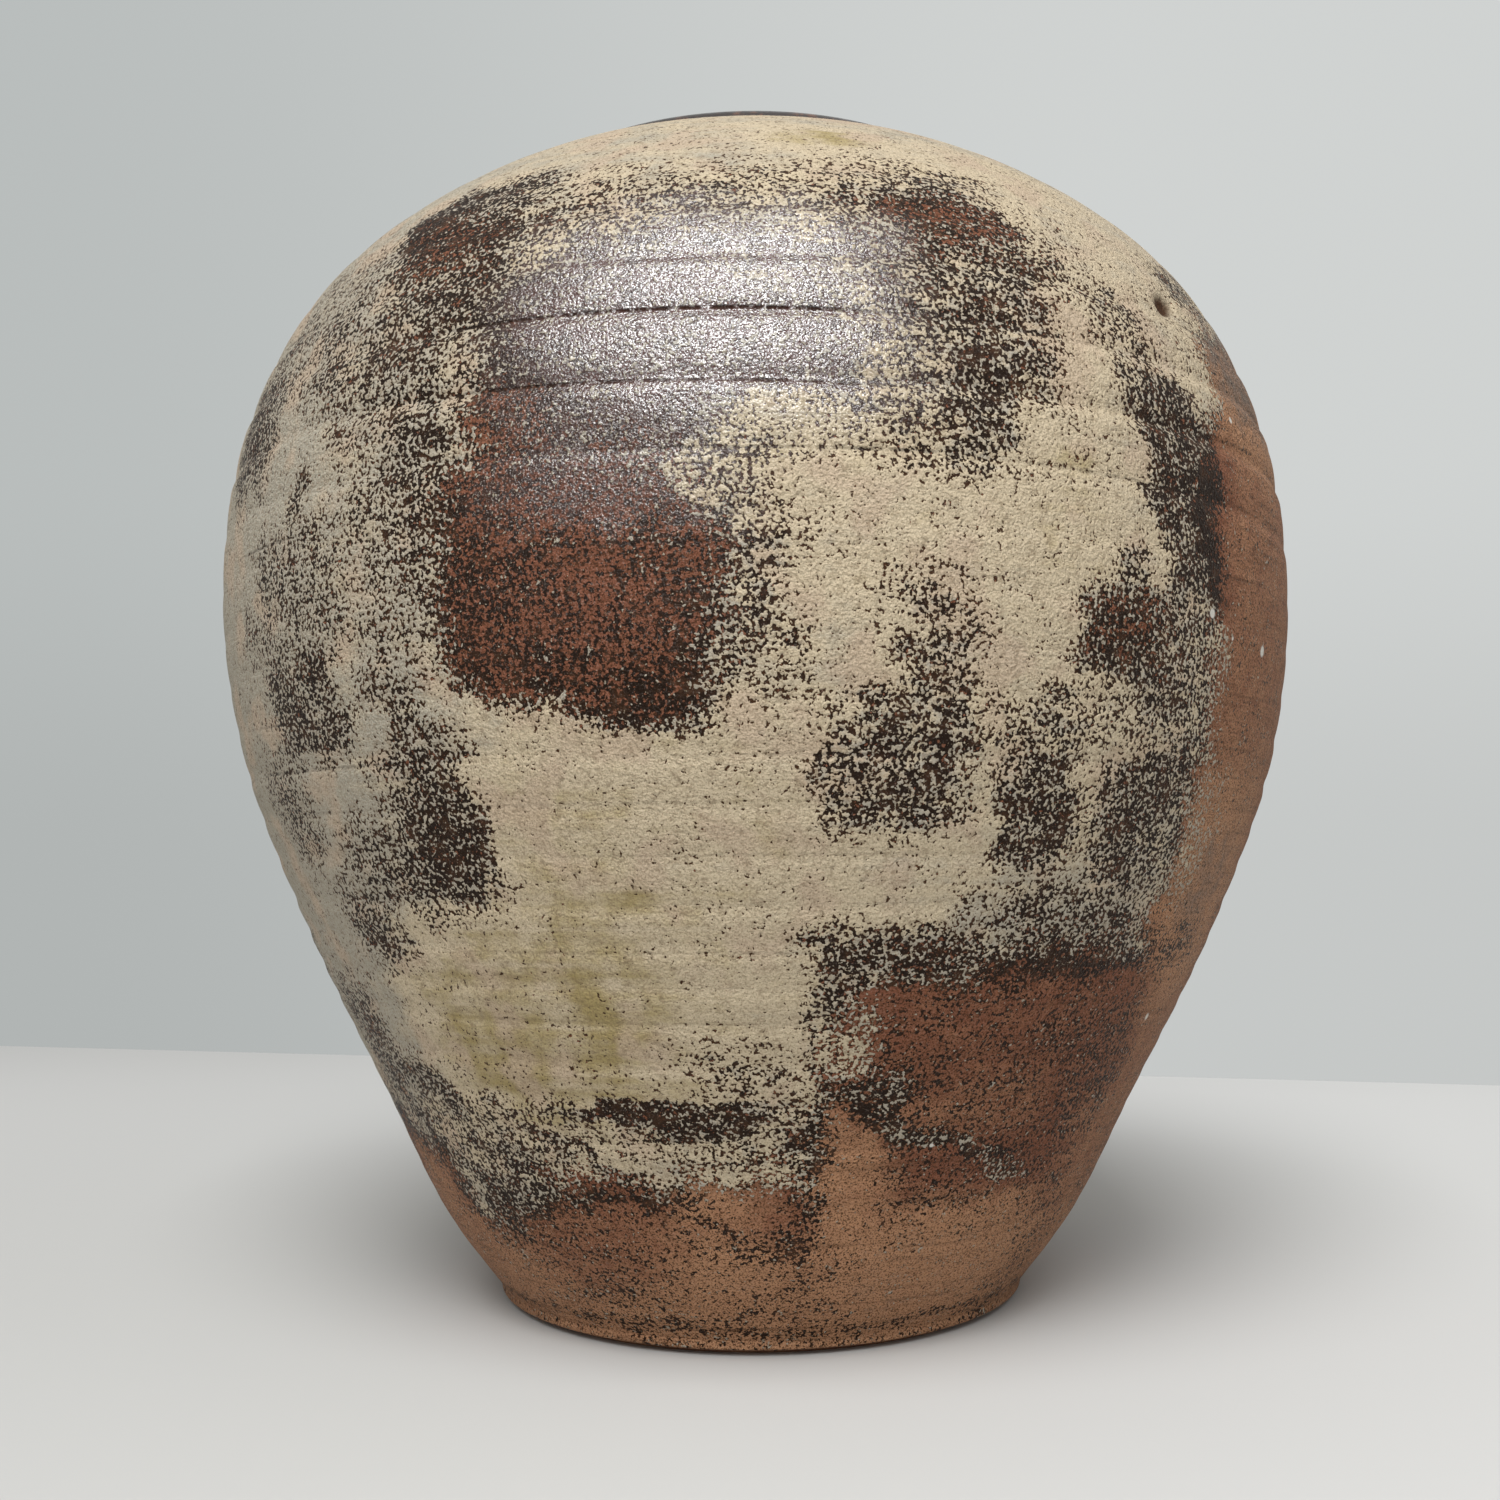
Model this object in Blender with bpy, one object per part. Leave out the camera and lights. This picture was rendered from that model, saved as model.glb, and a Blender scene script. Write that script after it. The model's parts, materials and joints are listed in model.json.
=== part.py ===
"""An ovoid stoneware flower jar, modelled as the turned sections that it is put together from.

Each section is turned from its own cross-section round the Z axis. The sections meet at bevelled
joints that run through the wall, higher on the inside than on the outside, so that each section
seats on the one below it. Lengths are in metres, +Z is up, and the jar stands on Z = 0.
"""

import math

import bmesh
import bpy
from mathutils import Vector

# Overall sizes
TOTAL_HEIGHT = 0.300
BELLY_RADIUS = 0.1427
BELLY_HEIGHT = 0.1849
WALL_THICKNESS = 0.0065

# The turned edge at the bottom of the outside
EDGE_RADIUS = 0.0702
EDGE_LIFT = 0.0016
EDGE_BAND = 0.0022
EDGE_ROUNDING = 0.0008

# Foot and floor of the jar
FOOT_RING_RADIUS = 0.0665
FOOT_RING_WIDTH = 0.0095
FOOT_RING_CHAMFER = 0.0005
FOOT_RECESS = 0.0050
FLOOR_THICKNESS = 0.0075

# Rim round the mouth
RIM_RADIUS = 0.0660
RIM_THICKNESS = 0.0080
RIM_RISE = 0.0046
NECK_STEP = 0.0032
RIM_START_ANGLE = math.radians(22.5)

# Joints, by their line on the outside of the wall
BASE_JOINT_ABOVE_FLOOR = 0.0010
MOUTH_JOINT_BELOW_NECK = 0.0110
JOINT_RISE = 0.0050
JOINT_CLEARANCE = 0.0003

# The thrown sections between those two joints: name, share of the wall at its upper joint
WALL_SECTIONS = (
    ("lower_wall", 0.18),
    ("flank_wall", 0.42),
    ("belly_wall", 0.64),
    ("upper_wall", 0.82),
    ("shoulder_wall", 1.00),
)

# Shape of the outside between its fixed points: share of the height, share of the change of radius
LOWER_SHAPE = ((0.098, 0.183), (0.279, 0.415), (0.519, 0.709), (0.759, 0.928))
UPPER_SHAPE = ((0.354, 0.074), (0.650, 0.290), (0.866, 0.637), (0.945, 0.827))

# Fineness of the meshes
TURNING_STEPS = 60
ROW_SPACING = 0.012
CURVE_STEPS = 12
BEND_STEPS = 4
RIM_STEPS = 7
SHARP_ANGLE = math.radians(35)
MERGE_DISTANCE = 1e-6

# Colour, roughness
BARE_CLAY = ((0.330, 0.190, 0.115), 0.75)
BARE_BASE = ((0.360, 0.215, 0.130), 0.80)
DARK_RIM = ((0.060, 0.035, 0.028), 0.30)
WALL_LOOKS = {
    "lower_wall": ((0.290, 0.145, 0.090), 0.60),
    "flank_wall": ((0.430, 0.360, 0.240), 0.55),
    "belly_wall": ((0.480, 0.400, 0.290), 0.50),
    "upper_wall": ((0.450, 0.370, 0.280), 0.45),
    "shoulder_wall": ((0.560, 0.490, 0.370), 0.45),
}


for old in list(bpy.data.objects):
    bpy.data.objects.remove(old)

jar = bpy.data.objects.new("jar", None)
bpy.context.scene.collection.objects.link(jar)


def curve_through(stations):
    """Returns a smooth polyline through points given as (radius, height)."""
    points = [Vector(station) for station in stations]
    chords = [(b - a).length for a, b in zip(points, points[1:])]
    slopes = [(b - a) / chord for a, b, chord in zip(points, points[1:], chords)]
    tangents = [slopes[0]]
    for index in range(1, len(points) - 1):
        before, after = chords[index - 1], chords[index]
        tangents.append((slopes[index - 1] * after + slopes[index] * before) / (before + after))
    tangents.append(slopes[-1])
    line = [points[0]]
    for index, chord in enumerate(chords):
        for step in range(1, CURVE_STEPS + 1):
            t = step / CURVE_STEPS
            line.append(
                points[index] * (2 * t**3 - 3 * t**2 + 1)
                + points[index + 1] * (3 * t**2 - 2 * t**3)
                + tangents[index] * chord * (t**3 - 2 * t**2 + t)
                + tangents[index + 1] * chord * (t**3 - t**2)
            )
    return line


def bend(start, corner, end, steps=BEND_STEPS):
    """Returns the points after start on a curve that leaves start and reaches end towards corner."""
    points = []
    for step in range(1, steps + 1):
        t = step / steps
        points.append(start * (1 - t) ** 2 + corner * 2 * t * (1 - t) + end * t**2)
    return points


class Outline:
    """The outside of the jar as a curve, read by its length from the bottom edge up to the neck."""

    def __init__(self):
        edge = (EDGE_RADIUS, EDGE_LIFT + EDGE_BAND)
        belly = (BELLY_RADIUS, BELLY_HEIGHT)
        neck = (RIM_RADIUS + NECK_STEP, TOTAL_HEIGHT - RIM_RISE)
        stations = [edge]
        stations += self.between(edge, belly, LOWER_SHAPE)
        stations.append(belly)
        stations += self.between(belly, neck, UPPER_SHAPE)
        stations.append(neck)
        self.line = curve_through(stations)
        self.lengths = [0.0]
        for a, b in zip(self.line, self.line[1:]):
            self.lengths.append(self.lengths[-1] + (b - a).length)
        self.total = self.lengths[-1]

    @staticmethod
    def between(low, high, shape):
        """Places the shares in shape between two fixed points."""
        return [
            (low[0] + (high[0] - low[0]) * out, low[1] + (high[1] - low[1]) * up)
            for up, out in shape
        ]

    def span_at(self, length):
        """Returns the number of the straight run that holds this length."""
        last = len(self.line) - 2
        found = 0
        while found < last and self.lengths[found + 1] < length:
            found += 1
        return found

    def outer(self, length):
        """Returns the point on the outside at this length."""
        span = self.span_at(length)
        share = (length - self.lengths[span]) / (self.lengths[span + 1] - self.lengths[span])
        return self.line[span].lerp(self.line[span + 1], share)

    def direction(self, length):
        """Returns the direction in which the outside climbs at this length."""
        step = ROW_SPACING / 4
        low = max(length - step, 0.0)
        high = min(length + step, self.total)
        return (self.outer(high) - self.outer(low)).normalized()

    def inner(self, length):
        """Returns the point on the inside, one wall thickness in from the outside."""
        direction = self.direction(length)
        outward = Vector((direction.y, -direction.x))
        return self.outer(length) - outward * WALL_THICKNESS

    def length_at(self, height):
        """Returns the length at which the outside reaches this height."""
        for index, (a, b) in enumerate(zip(self.line, self.line[1:])):
            if a.y <= height <= b.y:
                share = (height - a.y) / (b.y - a.y)
                return self.lengths[index] + share * (b - a).length
        raise ValueError("the outside doesn't reach this height")

    def rows(self, start, end):
        """Returns even steps of length from start to end, both included."""
        count = max(2, round((end - start) / ROW_SPACING))
        return [start + (end - start) * row / count for row in range(count + 1)]


def finish(name, look):
    """Returns a material for one piece."""
    colour, roughness = look
    material = bpy.data.materials.new(name)
    material.use_nodes = True
    shader = material.node_tree.nodes["Principled BSDF"]
    shader.inputs["Base Color"].default_value = (*colour, 1.0)
    shader.inputs["Roughness"].default_value = roughness
    shader.inputs["Metallic"].default_value = 0.0
    return material


def turn(name, section, look):
    """Turns a closed cross-section of (radius, height) points round the Z axis."""
    mesh = bpy.data.meshes.new(name)
    shape = bmesh.new()
    verts = [shape.verts.new((point.x, 0.0, point.y)) for point in section]
    edges = [
        shape.edges.new((a, b))
        for a, b in zip(verts, verts[1:] + verts[:1])
        if a.co.x > 0 or b.co.x > 0
    ]
    bmesh.ops.spin(
        shape,
        geom=verts + edges,
        axis=(0.0, 0.0, 1.0),
        cent=(0.0, 0.0, 0.0),
        dvec=(0.0, 0.0, 0.0),
        angle=2 * math.pi,
        steps=TURNING_STEPS,
        use_merge=True,
    )
    bmesh.ops.remove_doubles(shape, verts=shape.verts[:], dist=MERGE_DISTANCE)
    bmesh.ops.recalc_face_normals(shape, faces=shape.faces[:])
    shape.to_mesh(mesh)
    shape.free()
    mesh.shade_smooth()
    mesh.set_sharp_from_angle(angle=SHARP_ANGLE)
    mesh.materials.append(finish(name, look))
    piece = bpy.data.objects.new(name, mesh)
    bpy.context.scene.collection.objects.link(piece)
    piece.parent = jar
    return piece


def seat_above(length):
    """Returns the length at which the next section starts, one clearance above this joint."""
    slant = math.hypot(WALL_THICKNESS, JOINT_RISE) / WALL_THICKNESS
    return length + JOINT_CLEARANCE * slant


def foot_ring():
    """The low ring that the jar stands on. It seats in the step under the base."""
    outside = FOOT_RING_RADIUS
    inside = FOOT_RING_RADIUS - FOOT_RING_WIDTH
    top = FOOT_RECESS - JOINT_CLEARANCE
    cut = FOOT_RING_CHAMFER
    section = [
        Vector((inside + cut, 0.0)),
        Vector((outside - cut, 0.0)),
        Vector((outside, cut)),
        Vector((outside, top)),
        Vector((inside, top)),
        Vector((inside, cut)),
    ]
    turn("foot_ring", section, BARE_CLAY)


def base_dish(outline, joint):
    """The beaten disc that closes the jar, with its turned edge and a low upstand for the wall."""
    step = FOOT_RING_RADIUS + JOINT_CLEARANCE
    floor = FOOT_RECESS + FLOOR_THICKNESS
    edge_low = Vector((EDGE_RADIUS - EDGE_ROUNDING, EDGE_LIFT))
    edge_corner = Vector((EDGE_RADIUS, EDGE_LIFT))
    edge_high = Vector((EDGE_RADIUS, EDGE_LIFT + EDGE_ROUNDING))
    wall_foot = outline.inner(joint + JOINT_RISE)
    climb = outline.direction(joint + JOINT_RISE)
    drop = (wall_foot.y - floor) / climb.y
    corner = wall_foot - climb * drop
    floor_end = corner - Vector((abs(drop), 0.0))
    section = [
        Vector((0.0, FOOT_RECESS)),
        Vector((step, FOOT_RECESS)),
        Vector((step, EDGE_LIFT)),
        edge_low,
    ]
    section += bend(edge_low, edge_corner, edge_high)
    section += [outline.outer(length) for length in outline.rows(0.0, joint)]
    section.append(wall_foot)
    section += bend(wall_foot, corner, floor_end)
    section.append(Vector((0.0, floor)))
    turn("base_dish", section, BARE_BASE)


def wall(name, outline, low_joint, high_joint, look):
    """One turned section of the wall, between two joints."""
    start = seat_above(low_joint)
    section = [outline.outer(length) for length in outline.rows(start, high_joint)]
    inside = outline.rows(start + JOINT_RISE, high_joint + JOINT_RISE)
    section += [outline.inner(length) for length in reversed(inside)]
    turn(name, section, look)


def mouth_ring(outline, low_joint):
    """The last turned section: the top of the shoulder, the short neck and the rounded rim."""
    start = seat_above(low_joint)
    half = RIM_THICKNESS / 2
    centre = Vector((RIM_RADIUS - half, TOTAL_HEIGHT - half))
    neck = outline.outer(outline.total)
    under = outline.inner(outline.total)
    climb = outline.direction(outline.total)
    outer_corner = neck + climb * ((neck.x - RIM_RADIUS) / -climb.x)
    inner_corner = under + climb * ((under.x - centre.x + half) / -climb.x)
    rim = []
    for step in range(RIM_STEPS + 1):
        angle = RIM_START_ANGLE + (math.pi - RIM_START_ANGLE) * step / RIM_STEPS
        rim.append(centre + Vector((math.cos(angle), math.sin(angle))) * half)
    section = [outline.outer(length) for length in outline.rows(start, outline.total)]
    section += bend(neck, outer_corner, rim[0])
    section += rim[1:]
    section += bend(rim[-1], inner_corner, under)
    inside = outline.rows(start + JOINT_RISE, outline.total)
    section += [outline.inner(length) for length in reversed(inside[:-1])]
    turn("mouth_ring", section, DARK_RIM)


outside = Outline()
base_joint = outside.length_at(FOOT_RECESS + FLOOR_THICKNESS + BASE_JOINT_ABOVE_FLOOR)
mouth_joint = outside.length_at(TOTAL_HEIGHT - RIM_RISE - MOUTH_JOINT_BELOW_NECK)

foot_ring()
base_dish(outside, base_joint)
low_joint = base_joint
for section_name, share in WALL_SECTIONS:
    high_joint = base_joint + (mouth_joint - base_joint) * share
    wall(section_name, outside, low_joint, high_joint, WALL_LOOKS[section_name])
    low_joint = high_joint
mouth_ring(outside, mouth_joint)
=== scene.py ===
"""The dressed model of an ovoid stoneware flower jar that stands on a pale table.

Each turned section of the jar is spun from its own cross-section and given the marks of the
throwing. The fall of the ash is painted on it as point attributes, which the finishes turn into
grains of cream ash, dark glass and bare clay. Lengths are in metres, +Z is up, and the side that
the photograph shows faces -Y. An azimuth is in degrees from that side, and grows to the right.
"""

import json
import logging
import math
from dataclasses import dataclass, field
from enum import IntEnum
from functools import reduce

import bmesh
import bpy
import numpy as np
from mathutils import Matrix, Vector, noise

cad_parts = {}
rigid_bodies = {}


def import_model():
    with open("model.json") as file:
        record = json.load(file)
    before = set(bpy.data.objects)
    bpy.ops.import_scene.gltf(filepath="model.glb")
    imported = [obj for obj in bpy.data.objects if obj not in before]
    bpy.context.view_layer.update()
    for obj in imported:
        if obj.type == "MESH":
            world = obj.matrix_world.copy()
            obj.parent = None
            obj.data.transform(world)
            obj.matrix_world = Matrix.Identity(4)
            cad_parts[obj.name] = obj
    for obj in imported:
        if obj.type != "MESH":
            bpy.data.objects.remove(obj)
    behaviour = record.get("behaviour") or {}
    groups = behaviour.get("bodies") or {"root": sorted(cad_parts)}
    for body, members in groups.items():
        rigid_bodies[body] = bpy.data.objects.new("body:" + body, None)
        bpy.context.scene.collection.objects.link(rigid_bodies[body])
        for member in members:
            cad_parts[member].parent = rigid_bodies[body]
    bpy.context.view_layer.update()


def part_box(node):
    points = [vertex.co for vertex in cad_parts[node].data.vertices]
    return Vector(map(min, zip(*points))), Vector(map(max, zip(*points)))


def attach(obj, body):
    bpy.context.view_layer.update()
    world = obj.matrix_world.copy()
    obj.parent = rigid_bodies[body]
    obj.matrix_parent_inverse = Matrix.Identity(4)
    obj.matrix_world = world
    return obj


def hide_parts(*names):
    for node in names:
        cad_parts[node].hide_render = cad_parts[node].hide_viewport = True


LOG = logging.getLogger("jar")
MM = 0.001
NOISE_SEED = 8

Pair = tuple[float, float]
Spot = tuple[float, float, float]
Colour = tuple[float, float, float]
Socket = bpy.types.NodeSocket


class Side(IntEnum):
    """The part of a turned section that a point belongs to, which is also its finish's slot."""

    OUTSIDE = 0
    INSIDE = 1
    RIM = 2
    UNDER = 3


# a point of a cross-section: its radius, height, side and length along the outside
Station = tuple[float, float, Side, float]


def smooth_step(value: np.ndarray, low: float, high: float) -> np.ndarray:
    """Rises smoothly from 0 at low to 1 at high."""
    share = np.clip((value - low) / (high - low), 0.0, 1.0)
    return share * share * (3.0 - 2.0 * share)


def turn_between(azimuth: np.ndarray, centre: float) -> np.ndarray:
    """Returns the signed turn in degrees from centre to each azimuth, the short way round."""
    return (azimuth - centre + 180.0) % 360.0 - 180.0


def read(items: object, name: str, width: int = 1, kind: type = float) -> np.ndarray:
    """Reads one property of all the items of a mesh.

    Args:
        items: The vertices, loops, faces or attribute values.
        name: The property.
        width: How many numbers it has.
        kind: The type of its numbers.

    Returns:
        The numbers, one row for each item.
    """
    values = np.empty(len(items) * width, dtype=kind)
    items.foreach_get(name, values)
    return values.reshape(-1, width) if width > 1 else values


@dataclass
class Outline:
    """The outside of the jar as a curve, read by its length from the bottom edge to the neck."""

    height: float
    belly_radius: float
    belly_height: float = 184.9 * MM
    wall: float = 6.5 * MM
    edge: Pair = (70.2 * MM, 3.8 * MM)
    neck_radius: float = 69.2 * MM
    neck_drop: float = 4.6 * MM
    # shares of the climb and of the change of radius, below and above the belly
    lower_shape: tuple[Pair, ...] = ((0.098, 0.183), (0.279, 0.415), (0.519, 0.709), (0.759, 0.928))
    upper_shape: tuple[Pair, ...] = ((0.354, 0.074), (0.650, 0.290), (0.866, 0.637), (0.945, 0.827))
    curve_steps: int = 48
    points: np.ndarray = field(init=False)
    lengths: np.ndarray = field(init=False)
    normals: np.ndarray = field(init=False)

    def __post_init__(self) -> None:
        """Draws the curve through its stations and measures it."""
        belly = (self.belly_radius, self.belly_height)
        neck = (self.neck_radius, self.height - self.neck_drop)
        below = self.between(self.edge, belly, self.lower_shape)
        above = self.between(belly, neck, self.upper_shape)
        self.points = self.curve(np.array([self.edge, *below, belly, *above, neck]))
        spans = np.diff(self.points, axis=0)
        self.lengths = np.concatenate([[0.0], np.cumsum(np.hypot(spans[:, 0], spans[:, 1]))])
        climb = np.gradient(self.points, axis=0)
        climb /= np.linalg.norm(climb, axis=1)[:, None]
        self.normals = np.stack([climb[:, 1], -climb[:, 0]], axis=1)

    @staticmethod
    def between(low: Pair, high: Pair, shape: tuple[Pair, ...]) -> list[Pair]:
        """Places shares of the height and the radius between two fixed points."""
        return [
            (low[0] + (high[0] - low[0]) * out, low[1] + (high[1] - low[1]) * up)
            for up, out in shape
        ]

    def curve(self, stations: np.ndarray) -> np.ndarray:
        """Draws a smooth curve through the stations.

        Args:
            stations: Points as radius and height.

        Returns:
            The points of the curve.
        """
        chords = np.linalg.norm(np.diff(stations, axis=0), axis=1)
        slopes = np.diff(stations, axis=0) / chords[:, None]
        before, after = chords[:-1, None], chords[1:, None]
        middle = (slopes[:-1] * after + slopes[1:] * before) / (before + after)
        tangents = np.vstack([slopes[:1], middle, slopes[-1:]])
        t = (np.arange(1, self.curve_steps + 1) / self.curve_steps)[:, None]
        runs = [stations[:1]]
        for index, chord in enumerate(chords):
            runs.append(
                stations[index] * (2 * t**3 - 3 * t**2 + 1)
                + stations[index + 1] * (3 * t**2 - 2 * t**3)
                + tangents[index] * chord * (t**3 - 2 * t**2 + t)
                + tangents[index + 1] * chord * (t**3 - t**2)
            )
        return np.vstack(runs)

    @property
    def total(self) -> float:
        """The length of the whole curve."""
        return float(self.lengths[-1])

    def at(self, length: np.ndarray, values: np.ndarray) -> np.ndarray:
        """Reads a radius and a height for each length from those of the curve's points."""
        return np.stack([np.interp(length, self.lengths, column) for column in values.T], axis=-1)

    def outer(self, length: np.ndarray) -> np.ndarray:
        """Returns the points on the outside at these lengths, as radius and height."""
        return self.at(length, self.points)

    def outward(self, length: np.ndarray) -> np.ndarray:
        """Returns the outward directions at these lengths, as radius and height."""
        out = self.at(length, self.normals)
        return out / np.linalg.norm(out, axis=-1, keepdims=True)

    def inner(self, length: np.ndarray) -> np.ndarray:
        """Returns the points one wall thickness in from the outside, as radius and height."""
        return self.outer(length) - self.outward(length) * self.wall

    def length_at(self, height: float) -> float:
        """Returns the length at which the outside reaches this height."""
        return float(np.interp(height, self.points[:, 1], self.lengths))

    def wall_at(self, length: float) -> tuple[np.ndarray, np.ndarray, np.ndarray]:
        """Finds the wall at one length.

        Args:
            length: The length along the outside.

        Returns:
            The outer point, the inner point and the climbing direction, as radius and height.
        """
        place = np.array([length])
        out = self.outward(place)[0]
        return self.outer(place)[0], self.inner(place)[0], np.array([-out[1], out[0]])


@dataclass
class Throwing:
    """The marks that the potter's fingers and rib left in the wall, on one rising spiral."""

    # the lengths in millimetres at which the spiral passes azimuth 0, and its strength there
    grooves: tuple[Pair, ...] = (
        (-4, 0.0), (9, 0.1), (20, 0.15), (31, 0.2), (40, 0.2), (49, 0.25), (57, 0.35), (68, 0.45),
        (78, 0.45), (88, 0.45), (97, 0.4), (106, 0.4), (115, 0.5), (126, 0.35), (136, 0.35),
        (147, 0.6), (159, 0.35), (170, 0.3), (181, 0.3), (193, 0.35), (206.5, 0.9), (221, 1.8),
        (236.5, 1.3), (250.5, 0.8), (265, 0.5), (279, 0.4), (292, 0.35), (304, 0.3), (316, 0.2),
        (328, 0.15), (340, 0.0), (352, 0.0),
    )
    swell: float = 0.15 * MM
    groove: float = 0.22 * MM
    groove_width: float = 1.5 * MM
    lip_height: float = 0.8
    lip_offset: float = 2.2
    strength_drift: float = 0.55
    length_drift: float = 0.5 * MM
    inner_swell: float = 0.24 * MM
    inner_pitch: float = 11 * MM
    bow: float = 1.2 * MM
    bow_height: float = 105 * MM
    bow_reach: float = 62 * MM
    # the one burst pit: azimuth and length, half width in degrees and half height, and slant
    pit_place: Pair = (45.5, 253.2)
    pit_size: Pair = (1.8, 3.3)
    pit_slant: float = 1.2
    pit_depth: float = 1.9 * MM

    def wander(self, length: np.ndarray, azimuth: np.ndarray) -> np.ndarray:
        """Returns the slow unevenness of the throwing, from -1 to 1."""
        turn = np.radians(azimuth)
        return (
            np.sin(turn * 2.0 + length * 31.0)
            + 0.7 * np.sin(turn * 5.0 - length * 47.0 + 1.3)
            + 0.5 * np.sin(turn * 11.0 + length * 83.0 + 0.4)
        ) / 2.2

    def read(
        self, length: np.ndarray, azimuth: np.ndarray
    ) -> tuple[np.ndarray, np.ndarray, np.ndarray]:
        """Finds the nearest mark of each point.

        Args:
            length: Lengths along the outside.
            azimuth: Azimuths in degrees.

        Returns:
            The distance above the nearest groove in groove widths, its strength, and the
            number of turns of the spiral up to the point.
        """
        marks = np.array(self.grooves)
        heights, strengths = marks[:, 0] * MM, marks[:, 1]
        count = np.arange(len(heights))
        wander = self.wander(length, azimuth)
        place = length + wander * self.length_drift
        turns = np.interp(place, heights, count) + azimuth / 360.0
        centre = np.interp(np.round(turns) - azimuth / 360.0, count, heights)
        strength = np.interp(place, heights, strengths) * (1.0 + self.strength_drift * wander)
        return (place - centre) / self.groove_width, strength, turns

    def depth(self, length: np.ndarray, azimuth: np.ndarray) -> np.ndarray:
        """Works out how far the marks raise or sink the outside.

        Args:
            length: Lengths along the outside.
            azimuth: Azimuths in degrees.

        Returns:
            The distances along the outward direction.
        """
        away, strength, turns = self.read(length, azimuth)
        lip = self.lip_height * np.exp(-((away + self.lip_offset) ** 2))
        wave = -self.swell * np.cos(2.0 * math.pi * turns)
        marks = strength * (self.groove * (lip - np.exp(-(away**2))) + wave)
        return marks - self.pit_depth * self.pit(length, azimuth)

    def inner_depth(self, length: np.ndarray, azimuth: np.ndarray) -> np.ndarray:
        """Returns how far the finger rings raise or sink the inside."""
        phase = length * 2.0 * math.pi / self.inner_pitch + np.radians(azimuth)
        return -self.inner_swell * np.cos(phase)

    def pit(self, length: np.ndarray, azimuth: np.ndarray) -> np.ndarray:
        """Works out how deep in the one burst pit each point lies.

        Args:
            length: Lengths along the outside.
            azimuth: Azimuths in degrees.

        Returns:
            Depths from 0 to 1.
        """
        across = turn_between(azimuth, self.pit_place[0]) / self.pit_size[0]
        up = length / MM - self.pit_place[1] - across * self.pit_slant
        return np.exp(-((across**2 + (up / self.pit_size[1]) ** 2) ** 1.5))

    def lean(self, height: np.ndarray) -> np.ndarray:
        """Returns how far the wall leans to +X at these heights."""
        return self.bow * np.exp(-(((height - self.bow_height) / self.bow_reach) ** 2))


@dataclass(frozen=True)
class RibLine:
    """A thin line that the rib cut: azimuth, half width, length, strength and rise.

    The azimuth and half width are in degrees, the length in millimetres, and the rise in
    millimetres a degree.
    """

    azimuth: float
    half_width: float
    length: float
    strength: float
    rise: float = 0.0


@dataclass(frozen=True)
class Patch:
    """A blocky patch with soft sides, on the unrolled wall.

    The azimuth and its half width are in degrees, the length, half height and blur in
    millimetres, and the tilt in millimetres of length a degree. The share is how much of the
    surface the layer takes up inside it.
    """

    azimuth: float
    length: float
    half_width: float
    half_height: float
    share: float
    blur: float = 6.0
    tilt: float = 0.0
    squareness: float = 3.4

    def cover(self, azimuth: np.ndarray, length: np.ndarray, radius: np.ndarray) -> np.ndarray:
        """Works out how strongly the patch covers each point.

        Args:
            azimuth: Azimuths in degrees.
            length: Lengths along the outside in millimetres.
            radius: Radii of the points in millimetres.

        Returns:
            Shares from 0 outside the patch to 1 inside it.
        """
        turn = turn_between(azimuth, self.azimuth)
        across = np.abs(turn / self.half_width)
        up = np.abs((length - self.length - self.tilt * turn) / self.half_height)
        away = (across**self.squareness + up**self.squareness) ** (1.0 / self.squareness)
        half_width = np.radians(self.half_width) * radius
        inside = (1.0 - away) * np.minimum(half_width, self.half_height)
        return smooth_step(inside, -self.blur, self.blur)


@dataclass(frozen=True)
class Layer:
    """One painted layer: a share all over, then patches painted on it in order.

    Each row of patches has the values of a Patch, in its order. A grained layer is stored as
    the height, in standard deviations, at which a noise is cut to leave the share.
    """

    name: str
    ground: float
    grained: bool
    patches: tuple[tuple[float, ...], ...]
    least_share: float = 0.012
    logit_slope: float = 1.7

    def paint(self, azimuth: np.ndarray, length: np.ndarray, radius: np.ndarray) -> np.ndarray:
        """Paints the patches in order over the ground.

        Args:
            azimuth: Azimuths in degrees.
            length: Lengths along the outside in millimetres.
            radius: Radii of the points in millimetres.

        Returns:
            The share at each point, or the noise height of a grained layer.
        """
        share = np.full(len(azimuth), self.ground)
        for row in self.patches:
            patch = Patch(*row)
            cover = patch.cover(azimuth, length, radius)
            share = share * (1.0 - cover) + patch.share * cover
        if not self.grained:
            return share
        share = np.clip(share, self.least_share, 1.0 - self.least_share)
        return np.log(share / (1.0 - share)) / self.logit_slope


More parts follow.
